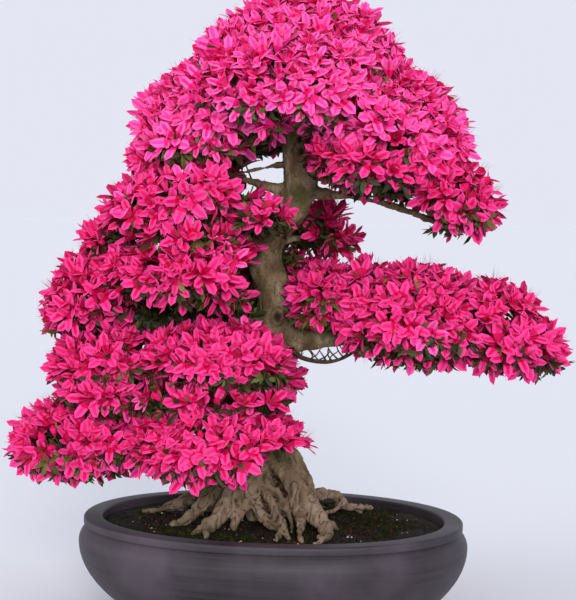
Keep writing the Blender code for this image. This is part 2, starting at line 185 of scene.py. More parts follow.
class Graph(Wiring):
    """A material's node tree while it is being wired, round its Principled shader."""

    def __init__(self, name: str, roughness: object = 0.5, specular: float = 0.5) -> None:
        """Start the material.

        Args:
            name: The material's name.
            roughness: The shader's roughness.
            specular: The shader's specular level.
        """
        self.material = bpy.data.materials.new(name)
        self.material.use_nodes = True
        super().__init__(self.material.node_tree)
        self.shader = self.tree.nodes["Principled BSDF"]
        self.set("Roughness", roughness)
        self.set("Specular IOR Level", specular)

    def set(self, name: str, value: object) -> None:
        """Feed an input of the shader."""
        self.feed(self.shader.inputs[name], value)

    def noise(self, place: NodeSocket, scale: float, detail: float) -> NodeSocket:
        """Add a noise that reads a place, and give its strength."""
        inputs = {"Vector": place, "Scale": scale, "Detail": detail}
        return self.add("ShaderNodeTexNoise", inputs).outputs[0]

    def ramp(self, share: NodeSocket, stops: list) -> NodeSocket:
        """Add a colour ramp over a share.

        Args:
            share: The socket that drives the ramp.
            stops: Pairs of position and screen colour.

        Returns:
            The ramp's colour.
        """
        node = self.add("ShaderNodeValToRGB", {"Fac": share})
        elements = node.color_ramp.elements
        while len(elements) < len(stops):
            elements.new(1.0)
        for element, (position, colour) in zip(elements, stops):
            element.position = position
            element.color = linear(colour)
        return node.outputs["Color"]

    def blend(self, share: object, first: NodeSocket, second: tuple) -> NodeSocket:
        """Mix a screen colour into a colour by a share."""
        inputs = {0: share, 6: first, 7: linear(second)}
        return self.add("ShaderNodeMix", inputs, data_type="RGBA").outputs[2]

    def range(self, value: NodeSocket, source: tuple, target: tuple) -> NodeSocket:
        """Map a value from one range to another, clamped."""
        inputs = dict(enumerate((value, *source, *target)))
        return self.add("ShaderNodeMapRange", inputs).outputs[0]

    def bump(self, height: NodeSocket, strength: float, distance: float) -> None:
        """Raise the surface by a height."""
        inputs = {"Height": height, "Strength": strength, "Distance": distance}
        self.set("Normal", self.add("ShaderNodeBump", inputs).outputs[0])

    def mark(self, name: str) -> NodeSocket:
        """Read a number that the mesh holds at each of its points."""
        return self.add("ShaderNodeAttribute", attribute_name=name).outputs["Fac"]

    def place(self, scale: Triple = (1.0, 1.0, 1.0)) -> NodeSocket:
        """Give the object's own coordinates, stretched by a scale."""
        coordinates = self.add("ShaderNodeTexCoord").outputs["Object"]
        return self.add("ShaderNodeMapping", {"Vector": coordinates, "Scale": scale}).outputs[0]


@dataclass(frozen=True)
class PlainFinish:
    """An even finish for small things that are dealt out by spray."""

    name: str
    colour: Colour
    roughness: float
    specular: float

    def build(self) -> Material:
        """Make the material.

        Returns:
            The material.
        """
        graph = Graph(self.name, self.roughness, self.specular)
        graph.set("Base Color", linear(self.colour))
        graph.material.diffuse_color = linear(self.colour)
        return graph.material


@dataclass(frozen=True)
class ClayFinish:
    """Unglazed stoneware: a purplish brown, cloudy from the kiln, with a fine gritty skin."""

    dark: Colour = (26, 22, 25)
    middle: Colour = (44, 37, 42)
    light: Colour = (68, 59, 67)
    cloud_rate: float = 9.0
    ring_rate: float = 3.0
    ring_stretch: Triple = (2.0, 2.0, 70.0)
    grit_rate: float = 900.0
    relief: float = 0.0006

    def build(self) -> Material:
        """Make the material.

        Returns:
            The material.
        """
        graph = Graph("unglazed_clay", specular=0.4)
        clouds = graph.noise(graph.place(), self.cloud_rate, detail=6.0)
        rings = graph.noise(graph.place(self.ring_stretch), self.ring_rate, detail=3.0)
        grit = graph.noise(graph.place(), self.grit_rate, detail=2.0)
        cloudy = graph.ramp(clouds, [(0.36, self.dark), (0.50, self.middle), (0.66, self.light)])
        ringed = graph.blend(graph.range(rings, (0.35, 0.70), (0.0, 0.35)), cloudy, self.light)
        speckled = graph.blend(graph.range(grit, (0.58, 0.70), (0.0, 0.45)), ringed, self.dark)
        graph.set("Base Color", speckled)
        graph.set("Roughness", graph.range(clouds, (0.3, 0.7), (0.46, 0.66)))
        height = graph.math("ADD", grit, graph.math("MULTIPLY", rings, 0.6))
        graph.bump(height, strength=0.35, distance=self.relief)
        return graph.material


@dataclass(frozen=True)
class BarkFinish:
    """Azalea bark: smooth, mottled olive grey and brown, greyer on the roots, with painted shade in its
    pits, creases, scar hollows and small dips.
    """

    # The colour of the painted shade in the bark's pits, creases and small dips.
    pit: Colour = (42, 31, 23)
    brown: Colour = (90, 72, 51)
    olive: Colour = (124, 107, 77)
    grey: Colour = (156, 138, 114)
    root_grey: Colour = (146, 122, 106)
    moss: Colour = (62, 64, 28)
    patch_rate: float = 44.0
    stain_rate: float = 17.0
    streak_rate: float = 210.0
    spot_rate: float = 330.0
    root_top: float = 0.235
    root_foot: float = GROUND + 0.03
    moss_top: float = 0.165
    relief: float = 0.0014

    def build(self) -> Material:
        """Make the material.

        Returns:
            The material.
        """
        graph = Graph("azalea_bark", specular=0.2)
        patches = graph.noise(graph.place((1.0, 1.0, 0.6)), self.patch_rate, detail=6.0)
        stains = graph.noise(graph.place((1.0, 1.0, 0.5)), self.stain_rate, detail=4.0)
        streaks = graph.noise(graph.place((1.0, 1.0, 0.30)), self.streak_rate, detail=4.0)
        spots = graph.noise(graph.place(), self.spot_rate, detail=3.0)
        height = graph.add("ShaderNodeSeparateXYZ", {0: graph.place()}).outputs[2]
        skin = graph.ramp(patches, [(0.34, self.brown), (0.50, self.olive), (0.66, self.grey)])
        stained = graph.blend(graph.range(stains, (0.46, 0.34), (0.0, 0.55)), skin, self.brown)
        lined = graph.blend(graph.range(streaks, (0.50, 0.36), (0.0, 0.55)), stained, self.brown)
        # Painted shade: the fine bump's dips are darkened.
        dip_shaded = graph.blend(graph.range(spots, (0.42, 0.34), (0.0, 0.6)), lined, self.pit)
        low = graph.range(height, (self.root_top, self.root_foot), (0.0, 0.75))
        greyed = graph.math("MULTIPLY", low, graph.range(patches, (0.35, 0.55), (0.3, 1.0)))
        rooted = graph.blend(greyed, dip_shaded, self.root_grey)
        damp = graph.range(height, (self.moss_top, GROUND), (0.0, 1.0))
        mossy = graph.math("MULTIPLY", damp, graph.range(stains, (0.48, 0.58), (0.0, 0.6)))
        film = graph.range(patches, (0.62, 0.44), (0.15, 0.9))
        patched = graph.math("MULTIPLY", graph.mark("moss"), film)
        greened = graph.blend(graph.math("MAXIMUM", mossy, patched), rooted, self.moss)
        # Painted shade: darkened where the wood lies deep in pits, creases and scar hollows.
        graph.set("Base Color", graph.blend(graph.mark("pit"), greened, self.pit))
        graph.set("Roughness", graph.range(spots, (0.3, 0.7), (0.74, 0.92)))
        graph.bump(graph.math("ADD", streaks, spots), strength=0.7, distance=self.relief)
        return graph.material


@dataclass(frozen=True)
class TwigFinish:
    """The thin bark of twigs: dark brown, greyer in patches."""

    brown: Colour = (58, 45, 33)
    grey: Colour = (90, 76, 60)
    patch_rate: float = 150.0

    def build(self) -> Material:
        """Make the material.

        Returns:
            The material.
        """
        graph = Graph("twig_bark", roughness=0.85, specular=0.2)
        patches = graph.noise(graph.place(), self.patch_rate, detail=3.0)
        graph.set("Base Color", graph.ramp(patches, [(0.42, self.brown), (0.66, self.grey)]))
        return graph.material


@dataclass(frozen=True)
class SoilFinish:
    """Damp potting soil: nearly black, with brown crumbs and a film of moss in patches."""

    black: Colour = (13, 9, 7)
    brown: Colour = (40, 29, 19)
    moss: Colour = (40, 38, 17)
    crumb_rate: float = 260.0
    patch_rate: float = 16.0
    relief: float = 0.002

    def build(self) -> Material:
        """Make the material.

        Returns:
            The material.
        """
        graph = Graph("damp_soil", roughness=0.9, specular=0.2)
        crumbs = graph.noise(graph.place(), self.crumb_rate, detail=4.0)
        patches = graph.noise(graph.place(), self.patch_rate, detail=4.0)
        earth = graph.ramp(crumbs, [(0.38, self.black), (0.66, self.brown)])
        film = graph.math("MULTIPLY", graph.range(patches, (0.50, 0.62), (0.0, 1.0)), crumbs)
        graph.set("Base Color", graph.blend(film, earth, self.moss))
        graph.bump(crumbs, strength=0.8, distance=self.relief)
        return graph.material


@dataclass(frozen=True)
class Palette:
    """The plain finishes of one kind of small thing, in the order of its shades.

    They share a roughness and a specular level, apart from those named in others.
    """

    colours: dict[str, Colour]
    roughness: float
    specular: float
    others: dict[str, tuple[float, float]] = field(default_factory=dict)

    def build(self) -> list[Material]:
        """Make the materials."""
        shared = (self.roughness, self.specular)
        return [PlainFinish(n, c, *self.others.get(n, shared)).build() for n, c in self.colours.items()]


def blossom(tone: str, *colours: Colour) -> Palette:
    """Give a flower's palette.

    Args:
        tone: The blend that it is for.
        *colours: The colours of the throat, core, blade, rim and threads.

    Returns:
        The palette.
    """
    zones = ("throat", "core", "blade", "rim", "thread")
    named = {f"{tone}_{zone}": colour for zone, colour in zip(zones, colours)}
    return Palette(named, 0.6, 0.08, {f"{tone}_thread": (0.6, 0.15)})


# The darker blend is a deeper pink of the flowers and also the painted shade of the lower tiers.
RICH_AND_SHADE_BLOSSOM = blossom("rich", (186, 0, 52), (210, 17, 86), (227, 40, 116), (238, 68, 142), (196, 42, 96))
CLEAR_BLOSSOM = blossom(
    "clear", (206, 4, 74), (237, 35, 126), (247, 63, 161), (253, 99, 171), (218, 62, 126)
)
LEAF_COLOURS = Palette(
    {
        "leaf_dark": (40, 44, 18),
        "leaf_olive": (62, 66, 26),
        "leaf_fresh": (84, 94, 34),
        "leaf_young": (122, 124, 58),
    },
    roughness=0.5,
    specular=0.25,
)
LITTER_COLOURS = Palette(
    {
        "grit_dark": (22, 17, 13),
        "grit_brown": (52, 38, 26),
        "bark_bit_red": (92, 40, 26),
        "pumice_pale": (186, 178, 164),
        "moss_green": (34, 38, 14),
        "moss_pale": (60, 62, 24),
    },
    roughness=0.9,
    specular=0.1,
    others={"bark_bit_red": (0.8, 0.1), "pumice_pale": (0.9, 0.2)},
)


def new_object(name: str, data: ID, *materials: Material) -> Object:
    """Put a mesh, lamp or camera into the scene.

    Args:
        name: The name of the object and of its data.
        data: The data.
        *materials: The mesh's materials.

    Returns:
        The object.
    """
    data.name = name
    item = bpy.data.objects.new(name, data)
    for material in materials:
        data.materials.append(material)
    bpy.context.scene.collection.objects.link(item)
    return item


def mesh_of(name: str, vertices: Array, faces: list) -> Mesh:
    """Make a mesh, shaded smooth.

    Args:
        name: The mesh's name.
        vertices: Its points.
        faces: The points of each face, by number.

    Returns:
        The mesh.
    """
    mesh = bpy.data.meshes.new(name)
    mesh.from_pydata([tuple(point) for point in vertices], [], faces)
    mesh.shade_smooth()
    return mesh


def settle(item: Object) -> None:
    """Turn an object's modifiers into plain mesh, and remove them.

    Args:
        item: The object, whose modifiers are live.
    """
    bpy.context.view_layer.update()
    graph = bpy.context.evaluated_depsgraph_get()
    worn = item.evaluated_get(graph)
    mesh = bpy.data.meshes.new_from_object(worn, preserve_all_data_layers=True, depsgraph=graph)
    worn_out = item.data
    item.modifiers.clear()
    item.data = mesh
    mesh.name = item.name
    bpy.data.meshes.remove(worn_out)


def show(piece: Object, slot: str, *nodes: str) -> None:
    """Put a finished piece on the tree's body, in place of the nodes it stands for.

    Args:
        piece: The piece.
        slot: The name of a material slot; it is not used.
        *nodes: The names of the frame's nodes that it replaces.
    """
    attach(piece, BODY)
    if nodes:
        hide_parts(*nodes)
    piece.data.calc_loop_triangles()
    LOG.info("%s: %d triangles", piece.name, len(piece.data.loop_triangles))


def band(rings: int, sides: int) -> list:
    """Join rings of points, each to the next.

    Args:
        rings: How many rings.
        sides: How many points each has.

    Returns:
        The faces between them.
    """
    faces = []
    for low in range(0, (rings - 1) * sides, sides):
        high = low + sides
        for step in range(sides):
            after = (step + 1) % sides
            faces.append((low + step, low + after, high + after, high + step))
    return faces


def rings_mesh(name: str, rings: list[Array]) -> Mesh:
    """Join rings of points, from the top down, as a closed mesh whose faces point outwards.

    Args:
        name: The mesh's name.
        rings: The rings, which all have the same number of points.

    Returns:
        The mesh.
    """
    segments = len(rings[0])
    faces = [(a, d, c, b) for a, b, c, d in band(len(rings), segments)]
    last = (len(rings) - 1) * segments
    faces.append(tuple(range(last, last + segments))[::-1])
    faces.append(tuple(range(segments)))
    return mesh_of(name, np.concatenate(rings), faces)


@dataclass
class Bin:
    """A growing heap of closed tubes that becomes one mesh."""

    vertices: list = field(default_factory=list)
    faces: list = field(default_factory=list)
    count: int = 0

    def lay(self, rows: Array, sides: int, flute: float = 0.0) -> None:
        """Loft a closed tube along a line, without twist.

        Args:
            rows: Rows of x, y, z and thickness along the line.
            sides: How many sides the tube has.
            flute: How deep its sides are fluted, as a share of the radius.
        """
        points, radii = rows[:, :3], rows[:, 3] / 2.0
        ways = np.gradient(points, axis=0)
        ways /= np.linalg.norm(ways, axis=1, keepdims=True) + TINY
        side = np.cross(ways[0], (0.0, 0.0, 1.0) if abs(ways[0][2]) < 0.9 else (1.0, 0.0, 0.0))
        turns = np.linspace(0.0, math.tau, sides, endpoint=False)
        # The ends' places give each tube's flutes a phase of their own.
        phase = float(points[0].sum() * 997.0 + points[-1].sum() * 313.0)
        for step, (point, way, radius) in enumerate(zip(points, ways, radii)):
            side = side - way * np.dot(side, way)
            side /= np.linalg.norm(side) + TINY
            other = np.cross(way, side)
            swirl = phase + step * FLUTE_TURN
            ridges = sum(np.sin(turns * n + swirl * drift) * share for n, drift, share in FLUTE_WAVES)
            reach = (radius * (1.0 + flute * ridges))[:, None]
            circle = np.outer(np.cos(turns), side) + np.outer(np.sin(turns), other)
            self.vertices.append(point + reach * circle)
        first, last = range(sides), range((len(points) - 1) * sides, len(points) * sides)
        for face in (*band(len(points), sides), first[::-1], last):
            self.faces.append(tuple(index + self.count for index in face))
        self.count += len(points) * sides

    def mesh(self, name: str) -> Mesh:
        """Give the heap as one mesh."""
        return mesh_of(name, np.concatenate(self.vertices), self.faces)


def smooth_line(rows: Array, steps: int) -> Array:
    """Read a Catmull-Rom curve through rows of numbers.

    Args:
        rows: The numbers that the curve passes through.
        steps: How many points each span gets.

    Returns:
        The curve's rows.
    """
    ends = np.vstack([rows[0] * 2 - rows[1], rows, rows[-1] * 2 - rows[-2]])
    line = []
    for before, start, end, after in zip(ends, ends[1:], ends[2:], ends[3:]):
        for step in range(steps):
            t = step / steps
            bend = before * -1 + start * 3 - end * 3 + after
            swing = before * 2 - start * 5 + end * 4 - after
            line.append(start + (end - before) * (t / 2) + swing * (t**2 / 2) + bend * (t**3 / 2))
    return np.vstack([line, rows[-1]])


def compass(heading: float) -> Array:
    """Give the level direction at a heading in degrees from +X."""
    return np.array((math.cos(math.radians(heading)), math.sin(math.radians(heading)), 0.0))


def unit(way: Array) -> Array:
    """Give a way at a length of one."""
    return way / (np.linalg.norm(way) + 1e-9)


def leftward(way: Array) -> Array:
    """Give the level direction to the left of another."""
    return np.array((-way[1], way[0], 0.0))


@dataclass(frozen=True)
class TrunkLine:
    """The trunk's middle line: where it is and how thick at any height."""

    steps: int = 8

    def rows(self) -> Array:
        """Give rows of x, y, z and thickness, from the ground to the tip."""
        turns = np.array([(sway, back, height, thick) for height, sway, back, thick in TRUNK_TURNS])
        return smooth_line(turns, self.steps)

    def at(self, height: float) -> Array:
        """Give the middle of the trunk at a height."""
        rows = self.rows()
        return np.array([np.interp(height, rows[:, 2], rows[:, axis]) for axis in range(3)])


@dataclass(frozen=True)
class Root:
    """A surface root: it comes down the trunk as a buttress, then runs out and dives."""

    heading: float
    reach: float
    height: float
    thickness: float
    swing: float
    tip_thickness: float = 0.008
    steps: int = 26
    dip: float = 0.003
    hump: float = 0.005
    wander: float = 0.0034
    start_out: float = 0.014

    def rows(self, trunk: TrunkLine) -> Array:
        """Give rows of x, y, z and thickness.

        Args:
            trunk: The trunk that the root leaves.

        Returns:
            The root's rows, from the trunk to its tip.
        """
        along = compass(self.heading)
        across = leftward(along)
        start = trunk.at(self.height) * (1.0, 1.0, 0.0) + along * self.start_out
        share = np.linspace(0.0, 1.0, self.steps + 1)
        phase = math.radians(self.heading * 7.0)
        waves = np.sin(share * 10.0 + phase) + 0.6 * np.sin(share * 23.0 + phase * 2.0)
        side = self.swing * np.sin(math.pi * share) + waves * self.wander * share
        lift = GROUND - self.dip + (self.height - GROUND) * (1.0 - share) ** 2.0
        hump = np.maximum(0.0, np.sin(share * 15.0 + phase * 3.0)) * self.hump * share
        thick = self.thickness + (self.tip_thickness - self.thickness) * share**0.7
        knobs = 1.0 + 0.20 * np.sin(share * 21.0 + phase) * share
        place = start + np.outer(share * (self.reach - self.start_out), along) + np.outer(side, across)
        place[:, 2] = lift + hump
        return np.column_stack([place, thick * knobs])


@dataclass(frozen=True)
class LaidRoot:
    """A surface root laid along a plan: it comes off the buttress, runs out over the soil and dives.

    The plan's points, x and y from the pot's middle, are in millimetres.
    """

    height: float
    thickness: float
    tip_thickness: float
    plan: tuple[tuple[int, int], ...]
    fall: float = 2.0
    taper: float = 1.2
    crest: float = 0.5
    steps: int = 5

    def rows(self) -> Array:
        """Lay the root.

        Returns:
            Rows of x, y, z and thickness, from the buttress to the tip.
        """
        line = smooth_line(np.array(self.plan) / 1000.0, self.steps)
        way = np.concatenate([[0.0], np.cumsum(np.linalg.norm(np.diff(line, axis=0), axis=1))])
        share = way / way[-1]
        thick = self.tip_thickness + (self.thickness - self.tip_thickness) * (1.0 - share) ** self.taper
        height = GROUND + (self.height - GROUND) * (1.0 - share) ** self.fall
        height += self.crest * thick * share * (1.0 - share**4)
        return np.column_stack([line, height, thick])


@dataclass(frozen=True)
class BareSpray:
    """A leafless twig that arcs under a bough, with fine twigs that cross each other up to the bough."""

    bends: tuple[Triple, ...]
    thickness: float = 0.0080
    tip_thickness: float = 0.0034
    count: int = 17
    first: float = 0.22
    last: float = 0.90
    rise: float = 0.019
    lean: float = 0.013
    depth: float = 0.006
    fine: float = 0.0026
    seed: int = 5
    steps: int = 6
    group: str = "right"

    def line(self, bends: list, thickness: float, tip_thickness: float) -> Array:
        """Lay a twig through its bends, as rows of x, y, z and thickness."""
        line = smooth_line(np.array(bends), self.steps)
        return np.column_stack([line, np.linspace(thickness, tip_thickness, len(line))])

    def twigs(self) -> list[Array]:
        """Lay the arc and the fine twigs that rise from it.

        Returns:
            The rows of each.
        """
        chance = np.random.default_rng(self.seed)
        arc = self.line(self.bends, self.thickness, self.tip_thickness)
        twigs = [arc]
        for index, share in enumerate(np.linspace(self.first, self.last, self.count)):
            foot = arc[int(share * (len(arc) - 1)), :3]
            side = (1.0 if index % 2 else -1.0) * self.lean * chance.uniform(0.4, 1.5)
            tip = foot + (side, chance.normal(0.0, self.depth), self.rise * chance.uniform(0.75, 1.1))
            kink = (side * chance.uniform(-0.4, 0.5), 0.0, chance.normal(0.0, 0.0012))
            elbow = foot * 0.55 + tip * 0.45 + kink
            twigs.append(self.line([foot, elbow, tip], self.fine, self.fine * 0.6))
        return twigs


@dataclass(frozen=True)
class Bough:
    """A limb of the tree, from the trunk's middle to its tip inside the foliage."""

    height: float
    heading: float
    reach: float
    rise: float
    sag: float
    thickness: float
    tip_thickness: float
    steps: int = 14
    wander: float = 0.003
    collar: float = 0.45
    collar_out: float = 0.022
    collar_length: float = 0.020

    def rows(self, trunk: TrunkLine) -> Array:
        """Give rows of x, y, z and thickness.

        Args:
            trunk: The trunk that the bough leaves.

        Returns:
            The bough's rows, from the trunk's middle to its tip.
        """
        along = compass(self.heading)
        across = leftward(along)
        share = np.linspace(0.0, 1.0, self.steps + 1)
        wander = np.sin(share * 7.0 + self.heading) * self.wander * np.sin(math.pi * share)
        place = trunk.at(self.height) + np.outer(share * self.reach, along) + np.outer(wander, across)
        place[:, 2] += self.rise * share - self.sag * share**2
        thick = self.thickness + (self.tip_thickness - self.thickness) * share
        knobs = 1.0 + 0.07 * np.sin(share * 13.0 + self.heading)
        past = (share * self.reach - self.collar_out) / self.collar_length
        return np.column_stack([place, thick * knobs * (1.0 + self.collar * np.exp(-(past**2)))])


@dataclass(frozen=True)
class Scar:
    """The healed scar of a cut branch: a raised ring round a hollow with painted shade in it."""

    x: float
    z: float
    radius: float

    def away(self, place: Vector) -> float:
        """Give how far a place is from the scar's middle, in radii; the back of the trunk has none."""
        across, up = place.x - self.x, (place.z - self.z) * 0.8
        return math.inf if place.y > 0.0 else math.hypot(across, up) / self.radius


ROOTS = (
    Root(150.0, 0.124, 0.204, 0.026, 0.008),
    Root(118.0, 0.114, 0.208, 0.026, -0.008),
    Root(88.0, 0.106, 0.204, 0.026, 0.006),
    Root(60.0, 0.120, 0.208, 0.026, -0.006),
)
LAID_ROOTS = (
    LaidRoot(0.212, 0.044, 0.006, ((-40, 5), (-70, 5), (-105, 5), (-150, 25), (-170, 20), (-195, 20))),
    LaidRoot(0.208, 0.040, 0.008, ((-55, -10), (-80, -20), (-100, -35), (-115, -55), (-135, -65))),
    LaidRoot(
        0.208,
        0.044,
        0.009,
        ((-40, -20), (-45, -40), (-55, -55), (-65, -85), (-80, -105), (-95, -120)),
    ),
    LaidRoot(0.149, 0.014, 0.007, ((-70, -80), (-75, -105), (-70, -140)), 1.0),
    LaidRoot(0.212, 0.038, 0.006, ((-25, -25), (-30, -40), (-35, -52), (-42, -62), (-42, -82)), 1.6),
    LaidRoot(0.200, 0.026, 0.007, ((-22, -26), (-23, -44), (-13, -55), (2, -72), (20, -78), (30, -60))),
    LaidRoot(0.204, 0.028, 0.006, ((-10, -26), (0, -44), (10, -56), (20, -74), (34, -104), (40, -124))),
    LaidRoot(0.146, 0.010, 0.005, ((22, -80), (26, -114), (25, -140)), 1.0),
    LaidRoot(0.191, 0.013, 0.006, ((8, -40), (20, -52), (34, -64), (38, -80)), 1.3),
    LaidRoot(0.177, 0.020, 0.006, ((30, -42), (46, -68), (53, -103), (54, -124), (61, -140)), 1.3),
    LaidRoot(
        0.240,
        0.056,
        0.008,
        ((-2, 0), (19, -14), (41, -34), (59, -60), (74, -80), (88, -106), (85, -130), (78, -148)),
    ),
    LaidRoot(0.156, 0.017, 0.006, ((70, -78), (86, -73), (98, -47)), 1.0),
    LaidRoot(
        0.178,
        0.024,
        0.008,
        ((46, -18), (62, 10), (74, 48), (90, 48), (96, 32), (84, 12), (62, 22)),
        0.6,
    ),
    LaidRoot(0.155, 0.014, 0.007, ((90, 40), (110, 70), (122, 72)), 0.8),
    LaidRoot(0.151, 0.010, 0.005, ((106, 62), (122, 70), (136, 114)), 1.0),
)
BARE_SPRAY = BareSpray(
    (
        (0.020, -0.014, 0.390),
        (0.042, -0.034, 0.376),
        (0.074, -0.040, 0.371),
        (0.098, -0.040, 0.376),
        (0.120, -0.034, 0.388),
    )
)
BOUGHS = {
    "bough_right_low": Bough(0.398, -4.0, 0.165, 0.016, 0.0, 0.044, 0.024),
    "bough_right_high": Bough(0.604, -2.0, 0.200, 0.010, 0.050, 0.015, 0.007),
    "bough_left_high": Bough(0.603, 183.0, 0.100, 0.026, 0.0, 0.014, 0.008),
    "bough_left_thin": Bough(0.650, 186.0, 0.098, -0.022, 0.0, 0.007, 0.004),
    "bough_left_middle": Bough(0.396, 190.0, 0.150, 0.036, 0.0, 0.024, 0.012),
    "bough_left_shelf": Bough(0.318, 205.0, 0.160, 0.024, 0.0, 0.024, 0.012),
    "bough_left_low": Bough(0.236, 200.0, 0.170, -0.004, 0.0, 0.026, 0.012),
    "bough_back_low": Bough(0.290, 112.0, 0.105, 0.018, 0.0, 0.020, 0.010),
    "bough_back_middle": Bough(0.450, 98.0, 0.105, 0.014, 0.0, 0.018, 0.009),
    "bough_back_right": Bough(0.535, 52.0, 0.105, 0.008, 0.0, 0.015, 0.008),
    "bough_front": Bough(0.545, -98.0, 0.075, 0.014, 0.0, 0.013, 0.008),
}
MOSS_PATCHES = (
    (Vector((0.092, -0.012, 0.412)), 0.036),
    (Vector((-0.085, 0.004, 0.180)), 0.045),
    (Vector((0.028, -0.024, 0.602)), 0.024),
    (Vector((-0.052, -0.030, 0.215)), 0.035),
)
SCARS = (
    Scar(0.034, 0.680, 0.0062),
    Scar(0.036, 0.662, 0.0070),
    Scar(0.006, 0.431, 0.0070),
)


@dataclass
class Woodwork:
    """The trunk with its roots and boughs, as one piece of wood with its bark.

    A rate is how many bumps of that kind lie in about a metre.
    """

    trunk: TrunkLine
    finish: BarkFinish = BarkFinish()
    seed: int = 71
    voxel: float = 0.0021
    sides: int = 24
    smoothing: int = 2
    flute: float = 0.10
    root_flute: float = 0.22
    flare_top: float = 0.26
    flare_fade: float = 0.10
    stretch: float = 0.55
    lump: float = 0.0036
    lump_rate: float = 38.0
    gnarl: float = 0.0017
    gnarl_rate: float = 120.0
    grain: float = 0.0007
    grain_rate: float = 380.0
    fold: float = 0.0024
    fold_rate: float = 62.0
    fold_width: float = 0.09
    scar_depth: float = 0.0032
    scar_reach: float = 2.2
    pit_depth: float = 0.0011
    pit_steps: int = 5
    rootlets: int = 2
    rootlet_steps: int = 12

    def rootlet(self, rows: Array, chance: Chance) -> Array:
        """Give the rows of a small root that leaves a bigger one.

        Args:
            rows: The bigger root's rows.
            chance: The seeded rule.

        Returns:
            The small root's rows.
        """
        at = int(len(rows) * chance.uniform(0.42, 0.72))
        along = rows[at + 1, :3] - rows[at - 1, :3]
        along[2] = 0.0
        along /= np.linalg.norm(along)
        across = leftward(along) * (1.0 if chance.random() < 0.5 else -1.0)
        share = np.linspace(0.0, 1.0, self.rootlet_steps)
        length = chance.uniform(0.030, 0.055)
        spread = chance.uniform(0.35, 0.80)
        line = rows[at, :3] + np.outer(share * length, along)
        line += np.outer(share**1.3 * length * spread + np.sin(share * 11.0) * 0.0022, across)
        line[:, 2] = rows[at, 2] * (1.0 - share) + (GROUND - 0.002) * share
        thick = rows[at, 3] * (0.62 - 0.34 * share)
        return np.column_stack([line, thick])

    def tubes(self) -> Bin:
        """Lay out the trunk, roots and boughs as overlapping closed tubes.

        Returns:
            The tubes.
        """
        heap = Bin()
        chance = np.random.default_rng(self.seed)
        for limb in [self.trunk.rows()] + [bough.rows(self.trunk) for bough in BOUGHS.values()]:
            heap.lay(limb, self.sides, self.flute)
        for root in LAID_ROOTS:
            heap.lay(root.rows(), self.sides, self.root_flute)
        for root in ROOTS:
            rows = root.rows(self.trunk)
            heap.lay(rows, self.sides, self.root_flute)
            for _ in range(self.rootlets):
                heap.lay(self.rootlet(rows, chance), self.sides // 2, self.root_flute)
        return heap

    def lifted(self, place: Vector) -> float:
        """Work out how far the bark stands out.

        Args:
            place: A place on the smooth wood.

        Returns:
            The lift there, in metres; it is negative in a hollow.
        """
        low = min(1.0, max(0.0, (self.flare_top - place.z) / self.flare_fade))
        upright = Vector((place.x, place.y, place.z * self.stretch))
        lumps = noise.noise(upright * self.lump_rate) * self.lump
        gnarls = noise.noise(upright * self.gnarl_rate + Vector((3.1, 0.0, 0.0)))
        lift = lumps + gnarls * self.gnarl * (0.8 + 0.9 * low)
        lift += noise.noise(place * self.grain_rate) * self.grain
        fold = abs(noise.noise(upright * self.fold_rate + Vector((0.0, 5.3, 0.0))))
        lift -= max(0.0, 1.0 - fold / self.fold_width) * self.fold * (0.25 + 0.75 * low)
        for scar in SCARS:
            away = scar.away(place)
            if away < self.scar_reach:
                lift += self.scar_depth * 0.9 * math.exp(-(((away - 1.0) / 0.30) ** 2))
                lift -= self.scar_depth * 1.4 * math.exp(-((away / 0.55) ** 2))
        return lift

    def pits(self, mesh: Mesh, places: Array) -> Array:
        """Measure how deep each vertex lies in a hollow or crease, from 0 to 1, as the mask of the bark's
        painted shade.

        Args:
            mesh: The wood.
            places: Its vertices' places.

        Returns:
            The depth of each vertex.
        """
        edges = np.zeros(len(mesh.edges) * 2, np.int32)
        mesh.edges.foreach_get("vertices", edges)
        edges = edges.reshape(-1, 2)
        ends = np.concatenate([edges, edges[:, ::-1]])
        normals = np.zeros(len(places) * 3, np.float32)
        mesh.vertex_normals.foreach_get("vector", normals)
        normals = normals.reshape(-1, 3)
        count = np.bincount(ends[:, 0], minlength=len(places))[:, None]
        spread = places.astype(np.float64)
        depth = np.zeros(len(places))
        for _ in range(self.pit_steps):
            total = np.zeros_like(spread)
            np.add.at(total, ends[:, 0], spread[ends[:, 1]])
            spread = total / np.maximum(count, 1)
            depth = np.maximum(depth, ((spread - places) * normals).sum(axis=1))
        pits = np.clip(depth / self.pit_depth - 0.10, 0.0, 1.0)
        # A scar's hollow gets painted shade too.
        for scar in SCARS:
            for index in np.nonzero(np.abs(places[:, 2] - scar.z) < scar.radius)[0]:
                hollow = 1.2 * math.exp(-((scar.away(Vector(places[index])) / 0.62) ** 2))
                pits[index] = max(pits[index], hollow)
        return np.clip(pits, 0.0, 1.0)

    def moss(self, places: Array) -> Array:
        """Work out how mossy each vertex is: most in the middle of a patch.

        Args:
            places: The vertices' places.

        Returns:
            The moss of each, from 0 to 1.
        """
        film = np.zeros(len(places))
        for middle, reach in MOSS_PATCHES:
            away = np.linalg.norm(places - np.array(middle), axis=1) / reach
            film = np.maximum(film, np.clip(1.25 - away, 0.0, 1.0))
        return film

    def relief(self, mesh: Mesh) -> None:
        """Raise the bark's lumps, grain and scars, mark how deep its pits lie as the mask of painted shade,
        and mark its moss.

        Args:
            mesh: The smooth wood, whose vertices are moved along their normals.
        """
        places = np.zeros((len(mesh.vertices), 3), np.float32)
        for index, vertex in enumerate(mesh.vertices):
            places[index] = vertex.co + vertex.normal * self.lifted(vertex.co)
        places[:, 2] = np.maximum(places[:, 2], GROUND - 0.0003)
        mesh.vertices.foreach_set("co", places.ravel())
        mesh.update()
        # The depth of the pits is the mask of painted shade; the moss is the bark's own colour.
        for name, values in (("pit", self.pits(mesh, places)), ("moss", self.moss(places))):
            mesh.attributes.new(name, "FLOAT", "POINT").data.foreach_set("value", values)

